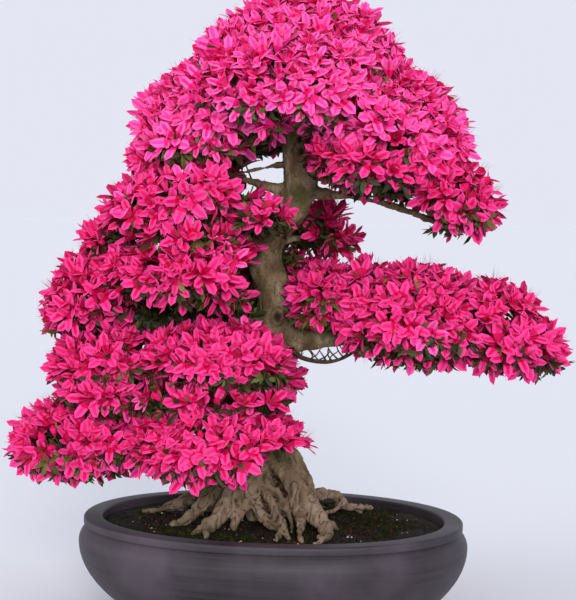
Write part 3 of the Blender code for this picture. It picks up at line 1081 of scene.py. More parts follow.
    def build(self) -> Object:
        """Build the wood.

        Returns:
            The finished piece.
        """
        wood = new_object("wood", self.tubes().mesh("wood"))
        remesh = wood.modifiers.new("skin", "REMESH")
        remesh.mode = "VOXEL"
        remesh.voxel_size = self.voxel
        smooth = wood.modifiers.new("smooth", "SMOOTH")
        smooth.factor = 0.5
        smooth.iterations = self.smoothing
        settle(wood)
        self.relief(wood.data)
        wood.data.shade_smooth()
        wood.data.materials.append(self.finish.build())
        return wood


@dataclass(frozen=True)
class Oval:
    """The pot's plan: an oval that is a little square, drawn in by an inset."""

    half_length: float
    half_width: float
    squareness: float = 2.1

    def ring(self, inset: float, height: float, segments: int) -> Array:
        """Draw the oval.

        Args:
            inset: How far inside the rim it lies.
            height: Its height.
            segments: How many points it has.

        Returns:
            The points.
        """
        turns = np.linspace(0.0, math.tau, segments, endpoint=False)
        power = 2.0 / self.squareness
        cosine = np.sign(np.cos(turns)) * np.abs(np.cos(turns)) ** power
        sine = np.sign(np.sin(turns)) * np.abs(np.sin(turns)) ** power
        x = (self.half_length - inset) * cosine
        y = (self.half_width - inset) * sine
        return np.column_stack([x, y, np.full(segments, height)])

    def inset_of(self, x: float, y: float) -> float:
        """Give how far inside the rim a place lies."""
        power, along, across = self.squareness, abs(x / self.half_length), abs(y / self.half_width)
        return (1.0 - (along**power + across**power) ** (1.0 / power)) * self.half_width


@dataclass
class OvalPot:
    """The oval clay pot: flat lip with rounded edges, a groove, a bulging belly and a flat foot."""

    oval: Oval
    height: float
    finish: ClayFinish = ClayFinish()
    segments: int = 168
    lip_width: float = 0.0265
    lip_depth: float = 0.0110
    rounding: float = 0.0032
    groove_depth: float = 0.0042
    groove_height: float = 0.0120
    groove_edges: tuple[float, float] = (0.0012, -0.0008)
    shoulder_drop: float = 0.0015
    shoulder_out: float = 0.0010
    bulge: float = 0.0070
    bulge_height: float = 0.110
    foot_inset: float = 0.065
    foot_height: float = 0.010
    foot_riser: float = 0.007
    foot_rounding: float = 0.002
    wall: float = 0.030
    soil_clear: float = 0.030

    def arc(self, middle: tuple, radius: float, start: float, end: float, steps: int = 6) -> list:
        """Give an arc of the section, as (inset, height) pairs, between two angles in degrees."""
        angles = np.radians(np.linspace(start, end, steps))
        return [(middle[0] - radius * math.cos(a), middle[1] + radius * math.sin(a)) for a in angles]

    def belly(self, end: float, top: float, shares: Array) -> list:
        """Give half of the belly's curve: its points lie at shares of the way from its widest height."""
        insets = -self.bulge + (end + self.bulge) * shares**2
        return list(zip(insets, self.bulge_height + (top - self.bulge_height) * shares))

    def section(self) -> list:
        """Lay the wall's section from the soil, over the lip, down to the foot's underside.

        Returns:
            Its points, as (inset, height) pairs.
        """
        top, r = self.height, self.rounding
        points = [(self.wall, top - self.soil_clear), (self.lip_width, top - self.lip_depth)]
        points += self.arc((self.lip_width - r, top - r), r, 180.0, 90.0)
        points += self.arc((r, top - r), r, 90.0, 0.0)
        points += self.arc((r, top - self.lip_depth + r * 0.6), r, 0.0, -58.0, 5)
        groove = top - self.groove_height
        points += [(self.groove_depth, groove + edge) for edge in self.groove_edges]
        shoulder = (self.groove_depth - self.shoulder_out, groove - self.shoulder_drop)
        points += self.belly(*shoulder, np.linspace(0.94, 0.0, 10))
        points += self.belly(self.foot_inset, self.foot_height, np.linspace(0.04, 1.0, 24))
        foot, r = self.foot_inset + self.foot_riser, self.foot_rounding
        points += [(foot - r / 2.0, self.foot_height - r), (foot, self.foot_height / 2.0)]
        points += self.arc((foot + r, r), r, 0.0, -90.0, 4)
        return points

    def build(self) -> Object:
        """Build the pot.

        Returns:
            The finished piece.
        """
        rings = [self.oval.ring(inset, height, self.segments) for inset, height in self.section()]
        pot = new_object("clay_pot", rings_mesh("clay_pot", rings), self.finish.build())
        pot.data.set_sharp_from_angle(angle=math.radians(50.0))
        return pot


@dataclass
class SoilBed:
    """The soil in the pot: an uneven, crumbly top that falls a little towards the pot's wall."""

    oval: Oval
    top: float
    finish: SoilFinish = SoilFinish()
    wall: float = 0.0300
    gap: float = 0.0006
    edge_drop: float = 0.004
    edge_width: float = 0.030
    rings: int = 74
    segments: int = 200
    crumb: float = 0.0016
    crumb_rate: float = 160.0
    swell: float = 0.0016
    swell_rate: float = 26.0
    depth: float = 0.020

    def height_at(self, x: float, y: float, inset: float) -> float:
        """Work out the soil's height.

        Args:
            x: The place's x.
            y: Its y.
            inset: How far it lies inside the pot's rim.

        Returns:
            The height there.
        """
        fall = self.edge_drop * max(0.0, 1.0 - (inset - self.wall) / self.edge_width)
        place = Vector((x, y, 0.0))
        swells = noise.noise(place * self.swell_rate) * self.swell
        return self.top - self.gap - fall + (swells + noise.noise(place * self.crumb_rate) * self.crumb)

    def build(self) -> Object:
        """Build the soil's body.

        Returns:
            The finished piece.
        """
        outer = self.oval.half_width - 0.004
        rings = []
        for step in reversed(range(self.rings)):
            inset = self.wall - self.gap + (outer - self.wall) * step / self.rings
            ring = self.oval.ring(inset, 0.0, self.segments)
            for point in ring:
                point[2] = self.height_at(point[0], point[1], inset)
            rings.append(ring)
        rings.append(self.oval.ring(self.wall - self.gap, self.top - self.depth, self.segments))
        return new_object("soil_bed", rings_mesh("soil_bed", rings), self.finish.build())


@dataclass
class Thinning:
    """Keeps points apart, in cells no smaller than the gap between them."""

    cell: float
    cells: dict = field(default_factory=dict)

    def cell_of(self, place: Vector) -> tuple[int, ...]:
        """Give the cell that a place lies in."""
        return tuple(math.floor(value / self.cell) for value in place)

    def free(self, place: Vector, gap: float) -> bool:
        """Tell whether nothing is nearer to a place than the gap."""
        nears = product(*((number - 1, number, number + 1) for number in self.cell_of(place)))
        return all((other - place).length >= gap for near in nears for other in self.cells.get(near, ()))

    def take(self, place: Vector) -> None:
        """Remember a place."""
        self.cells.setdefault(self.cell_of(place), []).append(place)


@dataclass(frozen=True)
class Tier:
    """Pads and cushions that one limb bears. The tiers of a group become one piece of each kind.

    Attributes:
        low: Where on the limb its twigs start: a share of a bough, or a height on the trunk.
        high: Where they stop.
        flush: How far they leave along the limb: 0 is straight out.
        side_sink: How deep the flowers of its sides sit.
        leafy: Whether it bears leaves alone.
        shoots: How many leafy shoots grow from the bare part of its bough.
        gap: The least way between two flowers, and leaf_gap that between two whorls of leaves.
        lift: How far the flowers on its top look up, and rim_lift how far those under its rim do.
    """

    group: str
    limb: str
    pads: tuple[str, ...]
    low: float = 0.45
    high: float = 1.0
    flush: float = 0.5
    side_sink: float = 0.021
    leafy: bool = False
    shoots: int = 12
    gap: float = 0.0192
    lift: float = 0.42
    rim_lift: float = 0.22
    size: float = 1.06
    leaf_gap: float = 0.0160


@dataclass(frozen=True)
class Opening:
    """A window through the crown, seen from the front, where nothing grows."""

    x: float
    z: float
    half_width: float
    half_height: float
    farthest: float = math.inf

    def holds(self, place: Vector) -> bool:
        """Tell whether a place lies in the window."""
        share = ((place.x - self.x) / self.half_width) ** 2 + ((place.z - self.z) / self.half_height) ** 2
        return share < 1.0 and place.y < self.farthest


OPENINGS = (
    Opening(-0.015, 0.630, 0.046, 0.042),
    Opening(0.028, 0.668, 0.026, 0.045, farthest=0.0),
    Opening(0.027, 0.600, 0.022, 0.024, farthest=0.0),
    Opening(0.080, 0.374, 0.050, 0.022),
    Opening(0.145, 0.562, 0.080, 0.038),
    Opening(-0.342, 0.530, 0.055, 0.045),
    Opening(-0.004, 0.480, 0.030, 0.060, farthest=0.0),
    Opening(0.052, 0.194, 0.084, 0.080, farthest=0.04),
)
TOP = {"gap": 0.0158, "lift": 0.66, "rim_lift": 0.34, "size": 1.02}
LOW = {"flush": 0.65, "low": 0.35, "gap": 0.0184}
DEEP_RIGHT = {"side_sink": 0.020, "gap": 0.0170, "leaf_gap": 0.024}
GREEN = {"leafy": True, "leaf_gap": 0.0105}
TIERS = (
    Tier("crown", "trunk", ("crown_top", "crown_right"), 0.640, 0.760, 0.30, 0.012, **TOP),
    Tier("crown", "trunk", ("crown_front",), 0.620, 0.740, 0.30, 0.014, **TOP),
    Tier("crown", "trunk", ("crown_low",), 0.600, 0.650, 0.45, **TOP),
    Tier("crown_side", "trunk", ("crown_left", "crown_back"), 0.64, 0.76, 0.30, 0.012, **TOP),
    Tier("crown_side", "trunk", ("crown_hem", "crown_join"), 0.640, 0.700, 0.30, 0.014, **TOP),
    Tier("crown_side", "bough_front", ("front",), 0.40, flush=0.60, gap=0.025, size=0.92),
    Tier("right", "bough_right_high", ("right_shoulder",), 0.60, side_sink=0.030),
    Tier("right", "bough_back_right", ("back_right",), 0.50, **DEEP_RIGHT),
    Tier("right", "trunk", ("right_near", "near_hem"), 0.440, 0.470, 0.60),
    Tier("right", "bough_right_low", ("right_middle", "right_tip"), 0.60, shoots=0),
    Tier("right", "bough_right_low", ("near_join", "tip_join"), 0.60, shoots=0),
    Tier("left", "bough_left_high", ("left_high", "left_high_back"), side_sink=0.014),
    Tier("left", "bough_left_middle", ("left_middle", "left_middle_tip"), side_sink=0.015),
    Tier("left", "bough_left_high", ("high_join", "high_join_tip"), 0.50, 1.0, 0.30, 0.016),
    Tier("left", "bough_left_middle", ("shelf_join", "middle_join"), 0.30, 0.8, **GREEN),
    Tier("low", "bough_left_shelf", ("left_shelf", "left_shelf_tip"), side_sink=0.026, **LOW),
    Tier("low", "bough_left_low", ("left_low", "left_low_tip"), side_sink=0.020, **LOW),
    Tier("low", "bough_left_low", ("low_join", "low_join_near"), side_sink=0.020, **LOW),
    Tier("low", "bough_back_low", ("back_low",), 0.50),
    Tier("left", "bough_back_middle", ("back_middle",), 0.50),
)
PAD_PREFIX = "foliage_"


class Skin:
    """A pad's closed skin: its triangles, corner normals, box and search tree, in the frame's axes."""

    sight = Vector((0.31, 0.22, 0.92)).normalized()
    step_on = 0.00002

    def __init__(self, mesh: Mesh, place: Matrix) -> None:
        """Measure a skin.

        Args:
            mesh: Its mesh.
            place: The mesh's place in the frame.
        """
        mesh.calc_loop_triangles()
        corners = [place @ vertex.co for vertex in mesh.vertices]
        keys = [tuple(round(value, 5) for value in corner) for corner in corners]
        faces = [tuple(face.vertices) for face in mesh.loop_triangles]
        summed = {}
        for face in faces:
            a, b, c = (corners[index] for index in face)
            normal = (b - a).cross(c - a)
            for index in face:
                summed[keys[index]] = summed.get(keys[index], Vector()) + normal
        self.points = np.array(corners)
        self.normals = np.array([summed.get(key, UP).normalized() for key in keys])
        self.triangles = np.array(faces)
        self.tree = BVHTree.FromPolygons(corners, faces)
        low, high = self.points.min(axis=0), self.points.max(axis=0)
        self.middle, self.half = Vector((high + low) / 2.0), Vector((high - low) / 2.0)

    def candidates(self, chance: Chance, density: float) -> tuple[Array, Array]:
        """Spread places over the skin, evenly by area.

        Args:
            chance: The seeded rule.
            density: How many places a square metre gets.

        Returns:
            The places and their normals.
        """
        corners = self.points[self.triangles]
        crosses = np.cross(corners[:, 1] - corners[:, 0], corners[:, 2] - corners[:, 0])
        areas = np.linalg.norm(crosses, axis=1) / 2.0
        count = int(areas.sum() * density)
        picked = chance.choice(len(areas), count, p=areas / areas.sum())
        share = chance.random((count, 2))
        over = share.sum(axis=1) > 1.0
        share[over] = 1.0 - share[over]
        weights = np.column_stack([1.0 - share.sum(axis=1), share])[:, :, None]
        places = (corners[picked] * weights).sum(axis=1)
        normals = (self.normals[self.triangles][picked] * weights).sum(axis=1)
        return places, normals

    def inside(self, place: Vector) -> bool:
        """Tell whether a place lies inside: a line from it crosses the skin an odd number of times.

        Args:
            place: The place.

        Returns:
            Whether it lies inside.
        """
        if any(abs(gap) > half for gap, half in zip(place - self.middle, self.half)):
            return False
        spot, crossings = place, 0
        while spot is not None:
            hit = self.tree.ray_cast(spot, self.sight)[0]
            crossings += hit is not None
            spot = None if hit is None else hit + self.sight * self.step_on
        return crossings % 2 == 1


@dataclass(frozen=True)
class Cushion:
    """A small rounded spray that fills the hollow between two pads."""

    name: str
    middle: Triple
    half_sizes: Triple

    def skin(self) -> Skin:
        """Give its skin, as an egg of triangles.

        Returns:
            The skin.
        """
        draft = bmesh.new()
        place = Matrix.Translation(self.middle) @ Matrix.Diagonal((*self.half_sizes, 1.0))
        bmesh.ops.create_icosphere(draft, subdivisions=3, radius=1.0, matrix=place)
        mesh = bpy.data.meshes.new(self.name)
        draft.to_mesh(mesh)
        draft.free()
        skin = Skin(mesh, Matrix.Identity(4))
        bpy.data.meshes.remove(mesh)
        return skin


CUSHIONS = (
    Cushion("low_join", (-0.218, -0.045, 0.324), (0.088, 0.095, 0.036)),
    Cushion("low_join_near", (-0.075, -0.112, 0.324), (0.112, 0.068, 0.030)),
    Cushion("shelf_join", (-0.150, -0.030, 0.432), (0.068, 0.055, 0.034)),
    Cushion("middle_join", (-0.060, -0.010, 0.432), (0.048, 0.045, 0.028)),
    Cushion("high_join", (-0.122, -0.055, 0.541), (0.100, 0.098, 0.034)),
    Cushion("high_join_tip", (-0.222, -0.030, 0.532), (0.050, 0.070, 0.028)),
    Cushion("crown_join", (-0.150, -0.035, 0.652), (0.050, 0.070, 0.034)),
    Cushion("crown_hem", (-0.100, -0.085, 0.668), (0.075, 0.055, 0.028)),
    Cushion("near_join", (0.130, -0.010, 0.474), (0.065, 0.075, 0.040)),
    Cushion("near_hem", (0.064, -0.030, 0.440), (0.046, 0.045, 0.020)),
    Cushion("tip_join", (0.284, -0.030, 0.441), (0.088, 0.086, 0.052)),
)


@dataclass
class Site:
    """The end of a twig: where it is, where it looks and whether it bears a flower."""

    place: Vector
    axis: Vector
    flower: bool
    size: float = 1.0


@dataclass
class Crown:
    """Reads the outline of the pads and deals out the places of flowers and leaf whorls on it."""

    nodes: dict
    seed: int = 11
    density: float = 130000.0
    cell: float = 0.0230
    overlap: float = 0.005
    flower_room: float = 0.024
    leaf_room: float = 0.006
    top_sink: float = 0.0200
    under_sink: float = 0.0140
    leaf_sink: float = 0.0060
    sink_spread: float = 0.0028
    flower_floor: float = -0.78
    floor_spread: float = 0.10
    least_rise: float = -0.30
    scatter: float = 0.26

    def __post_init__(self) -> None:
        """Measure the pads and prepare what keeps flowers and whorls apart."""
        self.chance = np.random.default_rng(self.seed)
        self.skins = {}
        for pad in [pad for tier in TIERS for pad in tier.pads]:
            node = self.nodes.get(PAD_PREFIX + pad)
            if node is not None:
                self.skins[pad] = Skin(node.data, node.matrix_world)
        for cushion in CUSHIONS:
            self.skins[cushion.name] = cushion.skin()
        self.flowers = Thinning(self.cell)
        self.whorls = Thinning(self.cell)

    def covered(self, pad: str, place: Vector) -> bool:
        """Tell whether a place on one pad lies well inside another."""
        around = (skin for name, skin in self.skins.items() if name != pad and skin.inside(place))
        return any(skin.tree.find_nearest(place)[3] > self.overlap for skin in around)

    def sites(self, tier: Tier, limbs: Array) -> list[Site]:
        """Deal out the twig ends of a tier.

        Args:
            tier: The tier.
            limbs: Points along the trunk and boughs, with their radius, to keep clear of.

        Returns:
            The tier's sites.
        """
        found = []
        for pad in tier.pads:
            places, normals = self.skins[pad].candidates(self.chance, self.density)
            for spot, way in zip(places, normals):
                place = Vector(spot)
                normal = Vector(way).normalized()
                facing_out = normal.z > self.flower_floor + self.chance.normal(0.0, self.floor_spread)
                room = np.min(np.linalg.norm(limbs[:, :3] - spot, axis=1) - limbs[:, 3])
                wanted = facing_out and room > self.flower_room and not tier.leafy
                kept, gap = (self.flowers, tier.gap) if wanted else (self.whorls, tier.leaf_gap)
                if room < self.leaf_room or not kept.free(place, gap):
                    continue
                if any(window.holds(place) for window in OPENINGS) or self.covered(pad, place):
                    continue
                kept.take(place)
                site = self.flower_site(tier, place, normal) if wanted else self.leaf_site(place, normal)
                found.append(site)
        return found

    def sway(self) -> Vector:
        """Give a small chance turn."""
        return Vector(self.chance.normal(0.0, self.scatter, 3))

    def leaf_site(self, place: Vector, normal: Vector) -> Site:
        """Set a whorl of leaves just inside the skin, looking out."""
        inward = normal * (self.leaf_sink + self.chance.normal(0.0, self.sink_spread))
        return Site(place - inward, (normal + self.sway()).normalized(), False)

    def flower_site(self, tier: Tier, place: Vector, normal: Vector) -> Site:
        """Set a flower inside the skin, so that its lobes reach it, looking out and a little up.

        Args:
            tier: The tier that the flower belongs to.
            place: The place on the skin.
            normal: The skin's normal there.

        Returns:
            The site.
        """
        way = normal.copy()
        share = min(1.0, max(0.0, (normal.z + 0.35) / 0.70))
        way.z = max(way.z, self.least_rise) + tier.rim_lift + (tier.lift - tier.rim_lift) * share
        upright = self.top_sink if normal.z > 0.0 else self.under_sink
        inward = Vector((normal.x * tier.side_sink, normal.y * tier.side_sink, normal.z * upright))
        depth = normal * self.chance.normal(0.0, self.sink_spread)
        return Site(place - inward - depth, (way + self.sway()).normalized(), True, tier.size)


@dataclass
class Twigs:
    """Grows twigs on from the limbs: each branches where its sprays part, down to the last flower."""

    seed: int = 23
    tip_radius: float = 0.0008
    pipe: float = 0.44
    spray: int = 34
    leafy_forks: int = 8
    pair_share: float = 0.6
    reach: tuple[float, float] = (0.36, 0.56)
    wander: float = 0.10
    bend: float = 0.45
    sides: int = 4
    fine: float = 0.0016
    stout: float = 0.003
    shoot: tuple[float, float] = (0.014, 0.044)
    nodes: list = field(default_factory=list)

    def __post_init__(self) -> None:
        """Start the seeded rule and the heap of twigs."""
        self.chance = np.random.default_rng(self.seed)
        self.heap = Bin()

    def radius(self, count: int) -> float:
        """Give the radius of a twig that feeds a number of ends."""
        return self.tip_radius * count**self.pipe

    def part(self, places: Array, groups: int) -> list[Array]:
        """Part places into groups that lie together.

        Args:
            places: The places.
            groups: How many groups are wanted.

        Returns:
            The indices of each group that isn't empty.
        """
        middles = places[self.chance.choice(len(places), groups, replace=False)]
        for _ in range(5):
            away = np.linalg.norm(places[:, None, :] - middles[None, :, :], axis=2)
            nearest = away.argmin(axis=1)
            for group in range(groups):
                if (nearest == group).any():
                    middles[group] = places[nearest == group].mean(axis=0)
        parts = [np.nonzero(nearest == group)[0] for group in range(groups)]
        return [part for part in parts if len(part)]

    def twig(self, start: Array, way: Array, end: Array, first: float, last: float) -> None:
        """Add a bent, tapered twig.

        Args:
            start: Where it starts.
            way: The way it leaves.
            end: Where it ends.
            first: Its radius at the start.
            last: Its radius at the end.
        """
        steps = 4 if first > self.fine else 3
        elbow = start + way * np.linalg.norm(end - start) * self.bend
        share = np.linspace(0.0, 1.0, steps)[:, None]
        line = start * (1.0 - share) ** 2 + elbow * 2.0 * share * (1.0 - share) + end * share**2
        thick = (first + (last - first) * share) * 2.0
        self.heap.lay(np.hstack([line, thick]), self.sides if first < self.stout else self.sides + 2)

    def grow(self, start: Array, heading: Array, places: Array, axes: Array) -> None:
        """Grow a branch that feeds the places, parting until each twig has one end.

        Args:
            start: Where the branch starts.
            heading: The way it leaves.
            places: The ends that it feeds.
            axes: The way that each end looks.
        """
        count = len(places)
        middle = places.mean(axis=0)
        if count == 1:
            self.twig(start, heading, places[0] + axes[0] * 0.002, self.radius(1) * 1.1, self.radius(1))
            return
        reach = self.chance.uniform(*self.reach)
        length = np.linalg.norm(middle - start)
        fork = start + (middle - start) * reach + self.chance.normal(0.0, self.wander * length * reach, 3)
        self.twig(start, heading, fork, self.radius(count) * 1.08, self.radius(count) * 0.95)
        onward = unit(fork - start)
        if count <= self.leafy_forks:
            self.nodes.append((fork, onward))
        groups = 2 if count < 5 or self.chance.random() < self.pair_share else 3
        for part in self.part(places, min(groups, count)):
            self.grow(fork, onward, places[part], axes[part])

    def shoots(self, limb: Array, count: int) -> None:
        """Grow short leafy shoots from the bare part of a bough.

        Args:
            limb: Rows of x, y, z and thickness along that part.
            count: How many shoots.
        """
        for _ in range(count):
            row = limb[int(self.chance.integers(0, len(limb)))]
            way = np.array(Vector(self.chance.normal(0.0, 1.0, 3)).normalized())
            reach = self.chance.uniform(*self.shoot)
            start = row[:3] + way * row[3] * 0.3
            end = row[:3] + way * (row[3] / 2.0 + reach)
            if any(window.holds(Vector(end)) for window in OPENINGS):
                continue
            self.twig(start, way, end, self.radius(3), self.radius(1))
            self.nodes += [(start + (end - start) * share, way) for share in (0.6, 1.0)]

    def fill(self, tier: Tier, limb: Array, sites: list[Site]) -> None:
        """Grow a tier's twigs on from its limb.

        Args:
            tier: The tier.
            limb: Rows of x, y, z and thickness along the limb's bearing length.
            sites: The ends to feed.
        """
        if not sites:
            return
        places = np.array([site.place for site in sites])
        axes = np.array([site.axis for site in sites])
        groups = max(2, round(len(sites) / self.spray))
        ways = np.gradient(limb[:, :3], axis=0)
        ways /= np.linalg.norm(ways, axis=1, keepdims=True)
        for part in self.part(places, min(groups, len(sites))):
            middle = places[part].mean(axis=0)
            away = np.linalg.norm(limb[:, :3] - middle, axis=1)
            row = max(0, int(away.argmin()) - int(self.chance.integers(0, max(1, len(limb) // 3))))
            heading = ways[row] * tier.flush + unit(middle - limb[row, :3]) * (1.0 - tier.flush)
            heading /= np.linalg.norm(heading)
            self.grow(limb[row, :3], heading, places[part], axes[part])


@dataclass
class Shape:
    """A small mesh with a zone number on each face, to be set many times over."""

    vertices: list = field(default_factory=list)
    faces: list = field(default_factory=list)
    zones: list = field(default_factory=list)

    def grid(self, rows: list[list[Vector]], zones: list[list[int]]) -> None:
        """Add a strip of rows of points; a last row of one point closes it with triangles.

        Args:
            rows: The rows.
            zones: The zone of each face between two rows.
        """
        starts = []
        for row in rows:
            starts.append(len(self.vertices))
            self.vertices.extend(row)
        for index in range(len(rows) - 1):
            low, high = starts[index], starts[index + 1]
            for column in range(len(rows[index]) - 1):
                face = (low + column, low + column + 1, high + column + 1, high + column)
                if len(rows[index + 1]) == 1:
                    face = (low + column, low + column + 1, high)
                self.faces.append(face)
                self.zones.append(zones[index][column])

    def spike(self, start: Vector, end: Vector, radius: float, zone: int) -> None:
        """Add a three-sided spike that narrows to its end.

        Args:
            start: The middle of its foot.
            end: Its tip.
            radius: Its foot's radius.
            zone: Its zone.
        """
        way = (end - start).normalized()
        side = way.orthogonal().normalized()
        base = len(self.vertices)
        for turn in range(3):
            self.vertices.append(start + (Quaternion(way, turn * math.tau / 3.0) @ side) * radius)
            self.faces.append((base + turn, base + (turn + 1) % 3, base + 3))
            self.zones.append(zone)
        self.vertices.append(end)

    def build(self, name: str) -> Object:
        """Make the shape an object, with its zones on its faces.

        Args:
            name: The object's name.

        Returns:
            The object.
        """
        shape = new_object(name, mesh_of(name, np.array([tuple(v) for v in self.vertices]), self.faces))
        marks = shape.data.attributes.new("zone", "INT", "FACE")
        marks.data.foreach_set("value", np.array(self.zones, np.int32))
        return shape


@dataclass(frozen=True)
class Flower:
    """One open azalea: a funnel of five pointed lobes with a crease, and its long threads.

    A lobe's rows lie at its stations, from 0 at the throat to 1 at the tip, and a row's points at
    its columns, from -1 to 1.
    """

    name: str
    open: float
    curl: float
    seed: int
    plump: float
    length: float = 0.0300
    throat: float = 0.0015
    crease: float = 0.0011
    droop: float = 0.0016
    ripple: float = 0.0006
    twist: float = 0.0012
    funnel: float = 0.45
    flare: float = 0.75
    lobes: int = 5
    blotched: int = 2
    threads: int = 5
    thread_length: float = 0.027
    pistil_length: float = 0.032
    thread_radius: float = 0.00045
    stations: tuple[float, ...] = (0.0, 0.45, 0.80, 1.0)
    half_widths: tuple[float, ...] = (0.0014, 0.0062, 0.0056, 0.0)
    columns: tuple[float, ...] = (-1.0, -0.36, 0.36, 1.0)

    def petal(self, turn: float, chance: Chance) -> list[list[Vector]]:
        """Give a lobe's rows of points, from the throat to the tip.

        Args:
            turn: The lobe's angle round the flower.
            chance: The seeded rule for its small differences.

        Returns:
            The rows; the last has one point.
        """
        lean = Quaternion(UP, turn)
        spread = math.radians(self.open * chance.uniform(0.90, 1.10))
        curl = math.radians(self.curl * chance.uniform(0.6, 1.4))
        twist = chance.normal(0.0, self.twist)
        radius, height, before = self.throat, 0.0, 0.0
        rows = []
        for share, wide in zip(self.stations, self.half_widths):
            tilt = spread * (self.funnel + self.flare * share) + curl * share**2
            radius += (share - before) * self.length * math.sin(tilt)
            height += (share - before) * self.length * math.cos(tilt)
            before = share
            inner = 0.0 < share < 1.0
            row = []
            for column in self.columns:
                fold = self.crease * (1.0 - abs(column)) if inner else 0.0
                ripple = chance.normal(0.0, self.ripple) if inner else 0.0
                lower = fold + self.droop * column**2 * share - ripple
                side = wide * column * (self.plump if inner else 1.0)
                point = Vector((radius + lower * math.cos(tilt), side, height - lower * math.sin(tilt)))
                point.y += twist * share
                row.append(lean @ point)
            rows.append(row if share < 1.0 else [(row[1] + row[2]) / 2.0])
        return rows

    def build(self) -> Object:
        """Build the flower, with its open side towards +Z.

        Returns:
            The flower.
        """
        chance = np.random.default_rng(self.seed)
        shape = Shape()
        for lobe in range(self.lobes):
            dark = lobe < self.blotched
            zones = [
                [Petal.DEEP, Petal.THROAT if dark else Petal.DEEP, Petal.DEEP],
                [Petal.BRIGHT, Petal.DEEP if dark else Petal.VIVID, Petal.BRIGHT],
                [Petal.BRIGHT, Petal.VIVID, Petal.BRIGHT],
            ]
            turn = lobe * math.tau / self.lobes + chance.normal(0.0, 0.05)
            shape.grid(self.petal(turn, chance), zones)
        for thread in range(self.threads + 1):
            turn = thread * math.tau / self.threads + chance.normal(0.0, 0.2)
            spread = chance.uniform(0.003, 0.008)
            length = self.thread_length if thread < self.threads else self.pistil_length
            tall = length * chance.uniform(0.85, 1.1)
            end = Vector((math.cos(turn) * spread, math.sin(turn) * spread, tall))
            shape.spike(UP * 0.002, end, self.thread_radius, Petal.THREAD)
        return shape.build(self.name)


@dataclass(frozen=True)
class Bud:
    """A pointed flower bud, still rolled."""

    name: str
    length: float = 0.021
    radius: float = 0.0050
    sides: int = 6

    def build(self) -> Object:
        """Build the bud, pointing towards +Z.

        Returns:
            The bud.
        """
        shape = Shape()
        rows = []
        for share, wide in ((0.0, 0.25), (0.35, 0.75), (0.68, 1.0), (1.0, 0.0)):
            turns = [index * math.tau / self.sides + share * 0.9 for index in range(self.sides + 1)]
            r, z = wide * self.radius, share * self.length
            rows.append([Vector((math.cos(turn) * r, math.sin(turn) * r, z)) for turn in turns])
        rows[-1] = rows[-1][:1]
        zones = [[Petal.DEEP] * self.sides, [Petal.VIVID] * self.sides, [Petal.DEEP] * self.sides]
        shape.grid(rows, zones)
        return shape.build(self.name)


@dataclass(frozen=True)
class LeafBlade:
    """A small pointed leaf, folded along its rib and bent back towards its tip."""

    name: str
    length: float
    half_width: float
    fold: float
    bend: float

    def build(self) -> Object:
        """Build the leaf, lying along +X with its upper side towards +Z.

        Returns:
            The leaf.
        """
        shape = Shape()
        rows = [[Vector((0.0, -0.0004, 0.0)), Vector((0.0, 0.0, -0.0002)), Vector((0.0, 0.0004, 0.0))]]
        for share, wide in ((0.36, 0.88), (0.68, 1.0)):
            x = self.length * share
            rib = -self.bend * self.length * share**2
            edge = rib + self.fold * self.half_width * wide
            y = self.half_width * wide
            rows.append([Vector((x, -y, edge)), Vector((x, 0.0, rib)), Vector((x, y, edge))])
        rows.append([Vector((self.length, 0.0, -self.bend * self.length))])
        shape.grid(rows, [[Leaf.DARK] * 2] * 3)
        return shape.build(self.name)


@dataclass
class Spread:
    """The places where a small shape is set: turn, size, which variant and which tone."""

    rows: list = field(default_factory=list)

    def put(self, place: Vector, turn: Quaternion, size: float, kind: int, tone: int) -> None:
        """Add a place.

        Args:
            place: The place.
            turn: How the shape is turned there.
            size: Its size.
            kind: Which shape it is.
            tone: The step of its tone, which is added to its zones.
        """
        self.rows.append((tuple(place), tuple(turn), size, kind, tone))

    def build(self, name: str) -> Object:
        """Make the places a mesh of points, with their marks.

        Args:
            name: The object's name.

        Returns:
            The object.
        """
        places, turns, sizes, kinds, tones = zip(*self.rows)
        mesh = bpy.data.meshes.new(name)
        mesh.from_pydata(places, [], [])
        marks = (
            ("turn", "QUATERNION", np.array(turns, np.float32).ravel()),
            ("size", "FLOAT", np.array(sizes, np.float32)),
            ("kind", "INT", np.array(kinds, np.int32)),
            ("tone", "INT", np.array(tones, np.int32)),
        )
        for label, kind, values in marks:
            mesh.attributes.new(label, kind, "POINT").data.foreach_set("value", values)
        return new_object(name, mesh)


